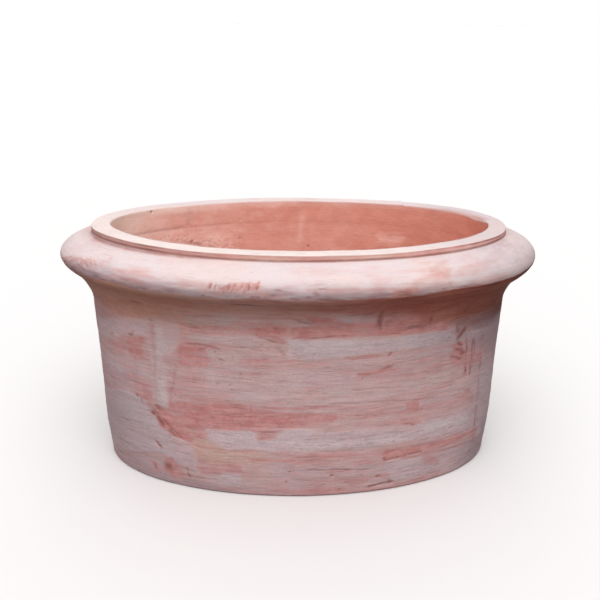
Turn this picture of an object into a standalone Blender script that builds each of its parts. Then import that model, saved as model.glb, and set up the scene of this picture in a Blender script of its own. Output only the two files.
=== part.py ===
"""Oval terracotta planter, hand-built from clay slabs and strips.

Frame: metres, +Z up, long axis along X, front towards -Y, origin at the centre
of the footprint on the ground. Every piece of clay is its own object. All of
them follow one oval, the outer edge of the lip, at some offset r along its
normal, so a piece is a section in (r, z) swept along part of that oval.
"""

import math

import bmesh
import bpy

# ---------------------------------------------------------------- dimensions
LIP_A = 0.2830  # half length of the lip's outer edge
LIP_B = 0.1665  # half width of the lip's outer edge
HEIGHT = 0.3340  # ground to the top of the lip
GAP = 0.0003  # slip joint between two pieces of clay
STEPS = 96  # stations round the oval

FLOOR_T = 0.0260  # floor slab
FLOOR_R_LOW = -0.0240  # wall foot's inner edge, on the ground
FLOOR_R_TOP = -0.0335  # wall foot's inner edge, level with the slab's top
DRAIN_R = 0.0125  # drain holes
DRAIN_X = (-0.130, 0.0, 0.130)

COIL_LEG = 0.0160  # luting coil in the corner of floor and wall

NECK_R, NECK_Z = 0.0029, 0.2363  # where the roll leaves the wall
REBATE_R = -0.0020  # wall face behind the roll
WALL_TOP_IN, WALL_TOP_OUT = 0.3015, 0.2935  # sloping top joint of the wall
WALL_IN_R = -0.0252  # wall's inner face at the top joint
WALL_SEAMS = (-133.125, -31.875, 46.875, 148.125)  # degrees round the oval
WALL_SCARF = 14.0  # degrees, slant of the wall's vertical joints

LIP_W = 0.0250  # lip's flat top
LIP_ROUND = 0.0012  # worn edge of the lip
LIP_SEAM = 54.375
LIP_SCARF = 25.0

ROLL_TOP = 0.3255  # crease between roll and lip
ROLL_NOSE_R, ROLL_NOSE_Z = 0.0421, 0.2992
ROLL_SEAMS = (-148.125, -58.125, 31.875, 121.875)
ROLL_SCARF = 11.0

CLAY = {
    "wall": (0.56, 0.36, 0.31),
    "rim": (0.72, 0.55, 0.49),
    "floor": (0.52, 0.25, 0.17),
}


# ---------------------------------------------------------------- geometry
def oval(angle, r):
    """Point at offset r outside the lip's oval, at ellipse angle in radians."""
    c, s = math.cos(angle), math.sin(angle)
    nx, ny = c / LIP_A, s / LIP_B
    n = math.hypot(nx, ny)
    return LIP_A * c + r * nx / n, LIP_B * s + r * ny / n


def pace(angle):
    """Metres along the oval per radian of ellipse angle."""
    return math.hypot(LIP_A * math.sin(angle), LIP_B * math.cos(angle))


def bezier(p0, p1, p2, p3, count):
    """count points along a cubic, the first one left out."""
    points = []
    for i in range(1, count + 1):
        t = i / count
        a, b, c, d = (1 - t) ** 3, 3 * t * (1 - t) ** 2, 3 * t * t * (1 - t), t**3
        points.append(
            tuple(a * p0[k] + b * p1[k] + c * p2[k] + d * p3[k] for k in range(2))
        )
    return points


def clay(name):
    material = bpy.data.materials.new("clay_" + name)
    material.use_nodes = True
    shader = material.node_tree.nodes["Principled BSDF"]
    shader.inputs["Base Color"].default_value = (*CLAY[name], 1.0)
    shader.inputs["Roughness"].default_value = 0.9
    shader.inputs["Metallic"].default_value = 0.0
    return material


def finish(name, bm, material, base_z):
    """Turns a bmesh into a named object that stands at base_z."""
    bmesh.ops.recalc_face_normals(bm, faces=bm.faces)
    mesh = bpy.data.meshes.new(name)
    bm.to_mesh(mesh)
    bm.free()
    mesh.shade_smooth()
    mesh.set_sharp_from_angle(angle=math.radians(32))
    mesh.materials.append(material)
    piece = bpy.data.objects.new(name, mesh)
    piece.location = (0.0, 0.0, base_z)
    piece.parent = planter
    bpy.context.scene.collection.objects.link(piece)
    return piece


def strip(name, section, start, end, slant, material, base_z):
    """Sweeps a closed (r, z) section along the oval from start to end degrees.

    Both ends are cut on the slant, so that the next length laps over this one.
    """
    a0, a1 = math.radians(start), math.radians(end)
    mid = (max(p[0] for p in section) + min(p[0] for p in section)) / 2
    step = 2 * math.pi / STEPS
    first, last = math.ceil(a0 / step), math.floor(a1 / step)
    stations = [a0] + [k * step for k in range(first, last + 1)] + [a1]
    lean = math.tan(math.radians(slant))
    open_half = GAP / 2 / math.cos(math.radians(slant))
    bm = bmesh.new()
    rings = []
    for i, angle in enumerate(stations):
        end_ring = i in (0, len(stations) - 1)
        ring = []
        for r, z in section:
            turn = angle
            if end_ring:
                side = 1.0 if i == 0 else -1.0
                turn += (lean * (r - mid) + side * open_half) / pace(angle)
            x, y = oval(turn, r)
            ring.append(bm.verts.new((x, y, z - base_z)))
        rings.append(ring)
    count = len(section)
    for ring, following in zip(rings, rings[1:]):
        for j in range(count):
            k = (j + 1) % count
            bm.faces.new((ring[j], ring[k], following[k], following[j]))
    bm.faces.new(rings[0])
    bm.faces.new(list(reversed(rings[-1])))
    return finish(name, bm, material, base_z)


# ---------------------------------------------------------------- the model
for old in list(bpy.data.objects):
    bpy.data.objects.remove(old, do_unlink=True)

planter = bpy.data.objects.new("planter", None)
planter.empty_display_size = 0.1
bpy.context.scene.collection.objects.link(planter)

wall_clay, rim_clay, floor_clay = clay("wall"), clay("rim"), clay("floor")

# Floor slab: an oval of clay with a bevelled edge that the wall leans over.
bm = bmesh.new()
loops = []
for r, z in ((FLOOR_R_LOW - GAP, 0.0), (FLOOR_R_TOP - GAP, FLOOR_T)):
    loops.append(
        [
            bm.verts.new((*oval(2 * math.pi * k / STEPS, r), z))
            for k in range(STEPS)
        ]
    )
bm.faces.new(loops[0])
bm.faces.new(loops[1])
for k in range(STEPS):
    n = (k + 1) % STEPS
    bm.faces.new((loops[0][k], loops[0][n], loops[1][n], loops[1][k]))
floor_slab = finish("floor_slab", bm, floor_clay, 0.0)

# Drain holes, pushed through the slab along its long axis.
for index, x in enumerate(DRAIN_X):
    bm = bmesh.new()
    bmesh.ops.create_cone(
        bm,
        cap_ends=True,
        segments=24,
        radius1=DRAIN_R,
        radius2=DRAIN_R,
        depth=FLOOR_T * 3,
    )
    cutter_mesh = bpy.data.meshes.new(f"drain_cutter_{index}")
    bm.to_mesh(cutter_mesh)
    bm.free()
    cutter = bpy.data.objects.new(f"drain_cutter_{index}", cutter_mesh)
    cutter.location = (x, 0.0, FLOOR_T / 2)
    cutter.parent = planter
    cutter.hide_render = True
    cutter.display_type = "WIRE"
    bpy.context.scene.collection.objects.link(cutter)
    hole = floor_slab.modifiers.new(f"drain_{index}", "BOOLEAN")
    hole.operation = "DIFFERENCE"
    hole.solver = "EXACT"
    hole.object = cutter

# Wall: four slabs with slanted vertical joints. The foot is rounded outside and
# bevelled inside, and the top is rebated for the roll and slopes under the lip.
wall_section = [
    (-0.0113, 0.0),
    (-0.0092, 0.0030),
    (-0.0086, 0.0110),
    (-0.0066, 0.0283),
    (-0.0036, 0.0623),
    (-0.0017, 0.1132),
    (0.0, 0.1698),
    (NECK_R, NECK_Z),
    (REBATE_R, NECK_Z),
    (REBATE_R, WALL_TOP_OUT),
    (WALL_IN_R, WALL_TOP_IN),
    (-0.0260, 0.1698),
    (-0.0277, 0.1132),
    (FLOOR_R_TOP, FLOOR_T),
    (FLOOR_R_LOW, 0.0),
]
for name, start, end in (
    ("wall_front", WALL_SEAMS[0], WALL_SEAMS[1]),
    ("wall_right", WALL_SEAMS[1], WALL_SEAMS[2]),
    ("wall_back", WALL_SEAMS[2], WALL_SEAMS[3]),
    ("wall_left", WALL_SEAMS[3], WALL_SEAMS[0] + 360.0),
):
    strip(name, wall_section, start, end, WALL_SCARF, wall_clay, 0.0)

# Luting coil: soft clay pressed into the corner of floor and wall, hollowed
# with a finger, closed on itself with one slanted joint.
inner_slope = (-0.0277 - FLOOR_R_TOP) / (0.1132 - FLOOR_T)
corner = (FLOOR_R_TOP - GAP * 1.2, FLOOR_T + GAP)
coil_section = [
    corner,
    (corner[0] + inner_slope * COIL_LEG, corner[1] + COIL_LEG),
]
hollow = COIL_LEG * 0.42
coil_section += bezier(
    coil_section[1],
    (corner[0] - 0.0012, corner[1] + hollow),
    (corner[0] - hollow, corner[1] + 0.0012),
    (corner[0] - COIL_LEG, corner[1]),
    4,
)
strip("floor_coil", coil_section, -88.125, 271.875, 25.0, floor_clay, FLOOR_T)

# Lip: a flat strip on the wall's sloping top, closed with one slanted joint.
slope = (WALL_TOP_OUT - WALL_TOP_IN) / (REBATE_R - WALL_IN_R)


def lip_under(r):
    return WALL_TOP_IN + slope * (r - WALL_IN_R) + GAP * 1.1


lip_section = [
    (0.0, lip_under(0.0)),
    (0.0, HEIGHT - LIP_ROUND),
    (-LIP_ROUND, HEIGHT),
    (-LIP_W + LIP_ROUND, HEIGHT),
    (-LIP_W, HEIGHT - LIP_ROUND),
    (-LIP_W, lip_under(-LIP_W)),
]
strip(
    "rim_lip",
    lip_section,
    LIP_SEAM,
    LIP_SEAM + 360.0,
    LIP_SCARF,
    rim_clay,
    WALL_TOP_OUT,
)

# Roll: four lengths of a heavy half-round moulding, seated in the wall's rebate
# and against the lip. Its top falls away from the crease, its nose is round,
# and its underside sweeps back into the wall.
seat = NECK_Z + GAP
roll_section = [(GAP, ROLL_TOP)]
roll_section += bezier(
    (GAP, ROLL_TOP),
    (0.0140, 0.3195),
    (ROLL_NOSE_R, 0.3185),
    (ROLL_NOSE_R, ROLL_NOSE_Z),
    6,
)
roll_section += bezier(
    (ROLL_NOSE_R, ROLL_NOSE_Z),
    (ROLL_NOSE_R, 0.2813),
    (NECK_R + 0.0011, 0.2614),
    (NECK_R, seat),
    8,
)
step_z = lip_under(0.0) - 0.0012
roll_section += [
    (REBATE_R + GAP, seat),
    (REBATE_R + GAP, step_z),
    (GAP, step_z),
]
for name, start, end in (
    ("rim_roll_front", ROLL_SEAMS[0], ROLL_SEAMS[1]),
    ("rim_roll_right", ROLL_SEAMS[1], ROLL_SEAMS[2]),
    ("rim_roll_back", ROLL_SEAMS[2], ROLL_SEAMS[3]),
    ("rim_roll_left", ROLL_SEAMS[3], ROLL_SEAMS[0] + 360.0),
):
    strip(name, roll_section, start, end, ROLL_SCARF, rim_clay, seat)
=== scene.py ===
"""Looks of the oval terracotta planter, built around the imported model.

Each piece of clay is rebuilt as a fine closed mesh in the place of its solid.
All of them share one unwrapped skin, with s running round the oval and t up the
outside of the wall, over the moulding and the lip, and down the inside. Lumps,
brush ridges, chips and the worn wash are fields on that skin, so they run on
from one piece to the next.
"""

import math

import bpy
import numpy as np
from mathutils import Matrix, Vector


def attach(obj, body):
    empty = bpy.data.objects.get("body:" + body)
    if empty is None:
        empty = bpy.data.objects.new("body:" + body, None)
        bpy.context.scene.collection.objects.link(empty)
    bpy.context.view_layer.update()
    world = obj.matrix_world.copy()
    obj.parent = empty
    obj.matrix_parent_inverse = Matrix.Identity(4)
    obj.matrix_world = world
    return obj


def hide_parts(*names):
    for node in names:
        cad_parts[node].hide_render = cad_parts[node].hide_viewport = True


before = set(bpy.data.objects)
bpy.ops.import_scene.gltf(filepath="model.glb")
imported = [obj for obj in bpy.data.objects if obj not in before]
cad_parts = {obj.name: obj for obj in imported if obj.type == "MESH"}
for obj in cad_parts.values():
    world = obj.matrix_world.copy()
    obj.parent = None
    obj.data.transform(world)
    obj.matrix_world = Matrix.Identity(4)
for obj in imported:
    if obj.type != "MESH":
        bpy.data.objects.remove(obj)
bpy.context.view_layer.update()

# ------------------------------------------------------------------ dimensions
A, B = 0.2830, 0.1665  # half axes of the lip's outer edge
TOP = 0.3340
NECK_Z = 0.2363
CREASE_Z = 0.3255
REBATE_R = -0.0020
JOINT_IN, JOINT_OUT = 0.3015, 0.2935  # top of the wall, inside and behind the moulding
WALL_IN_R = -0.0252
LIP_W = 0.0250
FLOOR_T = 0.0260
SLIT = 0.00004  # half of a closed slip joint

WALL_SEAMS = (-133.125, -31.875, 46.875, 148.125)
ROLL_SEAMS = (-148.125, -58.125, 31.875, 121.875)
LIP_SEAM = 54.375
COIL_SEAM = -88.125


# ------------------------------------------------------------------ the oval
def oval(th, r):
    c, s = np.cos(th), np.sin(th)
    nx, ny = c / A, s / B
    n = np.hypot(nx, ny)
    return A * c + r * nx / n, B * s + r * ny / n


def pace(th):
    return np.hypot(A * np.sin(th), B * np.cos(th))


_th = np.linspace(-math.pi, math.pi, 7201)
_s = np.concatenate(([0.0], np.cumsum(pace((_th[1:] + _th[:-1]) / 2) * np.diff(_th))))
GIRTH = float(_s[-1])


def s_of(th):
    """Metres round the oval from its left end, for any angle."""
    turns = np.floor((th + math.pi) / (2 * math.pi))
    return np.interp(th - turns * 2 * math.pi, _th, _s) + turns * GIRTH


def th_of(s):
    turns = np.floor(s / GIRTH)
    return np.interp(s - turns * GIRTH, _s, _th) + turns * 2 * math.pi


def wrap(ds):
    return (ds + GIRTH / 2) % GIRTH - GIRTH / 2


def ease(lo, hi, x):
    u = np.clip((x - lo) / (hi - lo), 0.0, 1.0)
    return u * u * (3 - 2 * u)


def bump(th, centre, width):
    """Bell curve round an angle in degrees."""
    d = (np.degrees(th) - centre + 180) % 360 - 180
    return np.exp(-((d / width) ** 2))


def rim_lift(th):
    """The rim stands a little higher towards its left end."""
    return 0.0040 * bump(th, -152.0, 30.0) + 0.0018 * bump(th, 165.0, 26.0)


# ------------------------------------------------------------------ noise
def _cell(ix, iy, seed):
    h = (
        ix.astype(np.uint32) * np.uint32(374761393)
        + iy.astype(np.uint32) * np.uint32(668265263)
        + np.uint32((seed * 2246822519) & 0xFFFFFFFF)
    )
    h = (h ^ (h >> np.uint32(13))) * np.uint32(1274126177)
    h = (h ^ (h >> np.uint32(16))) * np.uint32(2654435769)
    h = h ^ (h >> np.uint32(15))
    return h.astype(np.float64) / 2147483648.0 - 1.0


def noise(s, t, per_m_s, per_m_t, seed):
    """Smooth noise from -1 to 1 on the skin, closed round the oval."""
    n = max(1, int(round(per_m_s * GIRTH)))
    x = s / GIRTH * n
    y = t * per_m_t
    x0, y0 = np.floor(x), np.floor(y)
    fx, fy = x - x0, y - y0
    fx = fx * fx * fx * (fx * (fx * 6 - 15) + 10)
    fy = fy * fy * fy * (fy * (fy * 6 - 15) + 10)
    xi = (x0.astype(np.int64)) % n
    xj = (xi + 1) % n
    yi = y0.astype(np.int64) + 4096
    a = _cell(xi, yi, seed)
    b = _cell(xj, yi, seed)
    c = _cell(xi, yi + 1, seed)
    d = _cell(xj, yi + 1, seed)
    top = a + (b - a) * fx
    low = c + (d - c) * fx
    return top + (low - top) * fy


def layers(s, t, per_m_s, per_m_t, seed, count=3, gain=0.5):
    total, weight, size = 0.0, 1.0, 0.0
    for k in range(count):
        total = total + weight * noise(
            s, t, per_m_s * 2.07**k, per_m_t * 2.07**k, seed + 17 * k
        )
        size += weight
        weight *= gain
    return total / size


# ------------------------------------------------------------------ the section
def hermite(x, xs, ys):
    """Smooth curve through a few points, with no overshoot."""
    xs, ys = np.asarray(xs, float), np.asarray(ys, float)
    h, d = np.diff(xs), np.diff(ys) / np.diff(xs)
    m = np.zeros_like(ys)
    m[0], m[-1] = d[0], d[-1]
    for k in range(1, len(xs) - 1):
        if d[k - 1] * d[k] > 0:
            w1, w2 = 2 * h[k] + h[k - 1], h[k] + 2 * h[k - 1]
            m[k] = (w1 + w2) / (w1 / d[k - 1] + w2 / d[k])
    k = np.clip(np.searchsorted(xs, x) - 1, 0, len(xs) - 2)
    u = (x - xs[k]) / h[k]
    return (
        ys[k] * (1 + 2 * u) * (1 - u) ** 2
        + h[k] * m[k] * u * (1 - u) ** 2
        + ys[k + 1] * u * u * (3 - 2 * u)
        + h[k] * m[k + 1] * u * u * (u - 1)
    )


def wall_r(th, z):
    """Outer face of the wall. The right end is a little fuller than the left."""
    base = hermite(
        z,
        (0.0, 0.011, 0.0283, 0.0623, 0.1132, 0.1698, NECK_Z),
        (-0.0094, -0.0086, -0.0066, -0.0036, -0.0017, 0.0, 0.0029),
    )
    return base + np.cos(th) * (0.0007 * ease(0.0, 0.08, z) - 0.0006 * ease(0.10, 0.21, z))


def inner_r(z):
    return hermite(
        z,
        (0.0, FLOOR_T, 0.1132, 0.1698, JOINT_IN),
        (-0.0350, -0.0335, -0.0277, -0.0260, WALL_IN_R),
    )


def cubic(p0, p1, p2, p3, u):
    return (
        p0 * (1 - u) ** 3
        + 3 * p1 * u * (1 - u) ** 2
        + 3 * p2 * u * u * (1 - u)
        + p3 * u**3
    )


def roll_curve(th, u):
    """Moulding's outside: u from 0 at the neck over 1 at the nose to 2 at the crease."""
    w = (1 + np.cos(th)) / 2  # 1 at the right end, 0 at the left
    neck_r = wall_r(th, np.full_like(th, NECK_Z))
    nose_r = 0.0425 - 0.0003 * w
    nose_z = 0.3004 - 0.0036 * w
    # half way up, the cove turns into the round of the nose
    mid_r = neck_r + (0.36 + 0.19 * w) * (nose_r - neck_r)
    mid_z = NECK_Z + 0.0325 + 0.0064 * w
    lean = 0.98 - 0.41 * w
    dr, dz = np.cos(lean), np.sin(lean)
    long_side = np.sin(th) ** 2  # where the nose is rounder below
    into, out = 0.0162 - 0.0040 * w, 0.0188 - 0.0016 * w - 0.0016 * long_side
    low = 0.0130 - 0.0088 * w + 0.0060 * long_side
    high = 0.0150 + 0.0053 * w
    zero = np.zeros_like(th)
    a, b, c = np.clip(2 * u, 0, 1), np.clip(2 * u - 1, 0, 1), np.clip(u - 1, 0, 1)
    r = np.where(u <= 0.5, cubic(neck_r, neck_r + 0.0006, mid_r - into * dr, mid_r, a), cubic(mid_r, mid_r + out * dr, nose_r, nose_r, b))
    z = np.where(u <= 0.5, cubic(zero + NECK_Z, zero + NECK_Z + 0.0080, mid_z - into * dz, mid_z, a), cubic(mid_z, mid_z + out * dz, nose_z - low, nose_z, b))
    r = np.where(u <= 1, r, cubic(nose_r, nose_r, zero + 0.0140, zero + 0.0001, c))
    z = np.where(u <= 1, z, cubic(nose_z, nose_z + high, zero + 0.3195, zero + CREASE_Z, c))
    # the moulding is tucked in against the lip, deepest at the left
    tuck = 0.0005 + 0.0034 * ease(0.30, 0.95, -np.cos(th))
    z = z - np.where(u > 1, tuck * np.exp(-np.maximum(r, 0) / (0.0009 + 0.0070 * (1 - w) ** 3)), 0.0)
    return r, z + rim_lift(th) * ease(1.1, 1.95, u)


# t along the moulding is measured once, on the mean section.
_u = np.linspace(0, 2, 401)
_rr, _zz = roll_curve(np.full_like(_u, -math.pi / 2), _u)
_roll_t = np.concatenate(([0.0], np.cumsum(np.hypot(np.diff(_rr), np.diff(_zz)))))
T_NECK = NECK_Z
T_NOSE = T_NECK + float(np.interp(1.0, _u, _roll_t))
T_CREASE = T_NECK + float(_roll_t[-1])
T_EDGE = T_CREASE + (TOP - CREASE_Z)  # lip's outer edge
T_INNER = T_EDGE + LIP_W  # lip's inner edge
T_JOINT = T_INNER + (TOP - JOINT_IN)  # joint line inside
T_FLOOR = T_JOINT + (JOINT_IN - FLOOR_T)


def skin(th, t):
    """Nominal (r, z) of a point of the skin."""
    u = np.interp(t - T_NECK, _roll_t, _u)
    rr, rz = roll_curve(th, u)
    r = np.where(t < T_NECK, wall_r(th, np.clip(t, 0, NECK_Z)), rr)
    z = np.where(t < T_NECK, t, rz)
    face = (t > T_CREASE) & (t <= T_EDGE)
    r, z = np.where(face, 0.0, r), np.where(face, CREASE_Z + t - T_CREASE + rim_lift(th), z)
    flat = (t > T_EDGE) & (t <= T_INNER)
    r, z = np.where(flat, -(t - T_EDGE), r), np.where(flat, TOP + rim_lift(th), z)
    lip_in = (t > T_INNER) & (t <= T_JOINT)
    r, z = np.where(lip_in, -LIP_W, r), np.where(lip_in, TOP - (t - T_INNER), z)
    inside = t > T_JOINT
    zi = np.clip(JOINT_IN - (t - T_JOINT), 0.0, JOINT_IN)
    return np.where(inside, inner_r(zi), r), np.where(inside, zi, z)


# ------------------------------------------------------------------ the camera
EYE = Vector((-0.05045, -1.14608, 0.61095))
PITCH, YAW, ROLL = 0.327043, 0.0446142, 0.0086245
LENS = 51.30
forward = Vector(
    (
        math.sin(YAW) * math.cos(PITCH),
        math.cos(YAW) * math.cos(PITCH),
        -math.sin(PITCH),
    )
)
side = forward.cross(Vector((0, 0, 1))).normalized()
upward = side.cross(forward)
cr, sr = math.cos(ROLL), math.sin(ROLL)
cam_x = side * cr + upward * sr
cam_y = upward * cr - side * sr


def to_picture(x, y, z):
    """Where a point shows in the 600 by 600 picture, and how far off it is."""
    d = np.stack((x - EYE.x, y - EYE.y, z - EYE.z), -1)
    depth = d @ np.array(forward)
    f = LENS / 36.0 * 600.0
    return (
        300 + f * (d @ np.array(cam_x)) / depth,
        300 - f * (d @ np.array(cam_y)) / depth,
        depth,
    )


_zones = {}


def place(zone, px, py):
    """Skin coordinates of the spot that the picture shows at px, py."""
    if zone not in _zones:
        lo, hi, th0, th1 = {
            "wall": (0.0, T_NECK + 0.036, -176, -4),
            "roll": (T_NOSE - 0.04, T_CREASE, -182, 2),
            "under": (T_NECK - 0.02, T_NOSE - 0.004, -176, -4),
            "face": (T_CREASE, T_EDGE, -178, -2),
            "lip": (T_EDGE, T_INNER, -180, 180),
            "inside": (T_INNER, T_JOINT + 0.13, 2, 178),
        }[zone]
        th, t = np.meshgrid(
            np.radians(np.arange(th0, th1, 0.25)), np.arange(lo, hi, 0.0008)
        )
        th, t = th.ravel(), t.ravel()
        r, z = skin(th, t)
        x, y = oval(th, r)
        _zones[zone] = (th, t) + to_picture(x, y, z)[:2]
    th, t, u, v = _zones[zone]
    k = int(np.argmin((u - px) ** 2 + (v - py) ** 2))
    return float(s_of(th[k : k + 1])[0]), float(t[k])


# Where the thick wash of the rim ends under the nose: spots in the picture, then
# angle and distance below the nose for the sides that the picture doesn't show.
WASH_EDGE = [
    (72, 270), (80, 275), (88, 278), (97, 279.2), (110, 281.4), (125, 285.4), (140, 289.4),
    (160, 293), (180, 295.3), (200, 297.5), (220, 299), (240, 299.6), (260, 300), (280, 301),
    (300, 300.4), (320, 300.6), (350, 299.7), (380, 298.2), (400, 296.8), (420, 295), (440, 291.8),
    (455, 288.8), (470, 286.8), (485, 284.4), (500, 280.9), (508, 278.4),
    (516, 275.0),
]
_edge = [place("roll", *spot) for spot in WASH_EDGE]
_edge_at = list(np.degrees(th_of(np.array([e[0] for e in _edge])))) + [-18, 0, 30, 75, 120, 160]
_edge_t = [e[1] for e in _edge] + [T_NOSE - d for d in (0.0055, 0.0085, 0.010, 0.006, 0.006, 0.009)]


def wash_line(angle):
    """The lower edge of that wash on the skin, by angle in degrees."""
    return np.interp(angle, _edge_at, _edge_t, period=360)


# ------------------------------------------------------------------ strokes
def trail(S, T, path, half, soft, fade, ragged, seed, wobble=0.0, breaks=0.0):
    """Points near a path on the skin, and how much each one is covered, 0 to 1."""
    pts = [(0.0, path[0][1])]
    for p in path[1:]:
        pts.append((float(wrap(p[0] - path[0][0])), p[1]))
    ds = wrap(S - path[0][0])
    ps, pt = np.array([p[0] for p in pts]), np.array([p[1] for p in pts])
    reach = half * (1 + soft) * 1.6 + fade
    near = np.nonzero(
        (ds > ps.min() - reach)
        & (ds < ps.max() + reach)
        & (T > pt.min() - reach)
        & (T < pt.max() + reach)
    )[0]
    if not len(near):
        return near, np.zeros(0)
    x, y = ds[near], T[near]
    if wobble:
        x = x + wobble * noise(S[near], T[near], 70, 70, seed + 2)
        y = y + wobble * noise(S[near], T[near], 70, 70, seed + 3)
    best = np.full(len(near), 1e9)
    along = np.zeros(len(near))
    run = 0.0
    for k in range(len(pts) - 1):
        ex, ey = ps[k + 1] - ps[k], pt[k + 1] - pt[k]
        size = max(math.hypot(ex, ey), 1e-6)
        u = np.clip(((x - ps[k]) * ex + (y - pt[k]) * ey) / size**2, 0, 1)
        d = np.hypot(x - ps[k] - u * ex, y - pt[k] - u * ey)
        closer = d < best
        best = np.where(closer, d, best)
        along = np.where(closer, run + u * size, along)
        run += size
    # bristles run along the stroke
    upright = np.ptp(pt) > np.ptp(ps)
    across, down = (150, 45) if upright else (45, 330)
    rough = layers(S[near], y, across, down, seed, 2)
    edge = best + ragged * half * rough
    cover = 1 - ease(half * (1 - soft), half * (1 + soft), edge)
    if fade > 0:
        bristle = fade * 0.8 * noise(S[near], y, 150 if upright else 12, 12 if upright else 420, seed + 5)
        cover = cover * ease(-0.2 * fade, fade, along + bristle)
        cover = cover * ease(-0.2 * fade, fade, run - along + bristle)
    if breaks:
        gaps = noise(S[near], T[near], 110, 110, seed + 4)
        cover = cover * (1 - breaks * ease(-0.15, 0.55, gaps))
    return near, cover


def patch(S, T, corners, soft, ragged, seed):
    """Points in and near an outline on the skin, and how much each is covered."""
    ps = np.array([float(wrap(c[0] - corners[0][0])) for c in corners])
    pt = np.array([c[1] for c in corners])
    ds = wrap(S - corners[0][0])
    soft = soft * 1.3
    reach = soft + 4 * ragged
    near = np.nonzero(
        (ds > ps.min() - reach)
        & (ds < ps.max() + reach)
        & (T > pt.min() - reach)
        & (T < pt.max() + reach)
    )[0]
    if not len(near):
        return near, np.zeros(0)
    sn, tn = S[near], T[near]
    x = ds[near] + 3.6 * ragged * layers(sn, tn, 22, 150, seed, 4, 0.65)
    y = tn + 1.7 * ragged * layers(sn, tn, 24, 64, seed + 3, 4, 0.65)
    best = np.full(len(near), 1e9)
    within = np.zeros(len(near), bool)
    for k in range(len(ps)):
        ax, ay = ps[k], pt[k]
        bx, by = ps[(k + 1) % len(ps)], pt[(k + 1) % len(ps)]
        ex, ey = bx - ax, by - ay
        size = max(ex * ex + ey * ey, 1e-12)
        u = np.clip(((x - ax) * ex + (y - ay) * ey) / size, 0, 1)
        best = np.minimum(best, np.hypot(x - ax - u * ex, y - ay - u * ey))
        if abs(ey) > 1e-9:
            within ^= ((ay > y) != (by > y)) & (x < ex * (y - ay) / ey + ax)
    return near, 1 - ease(-soft, soft, np.where(within, -best, best))


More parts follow.
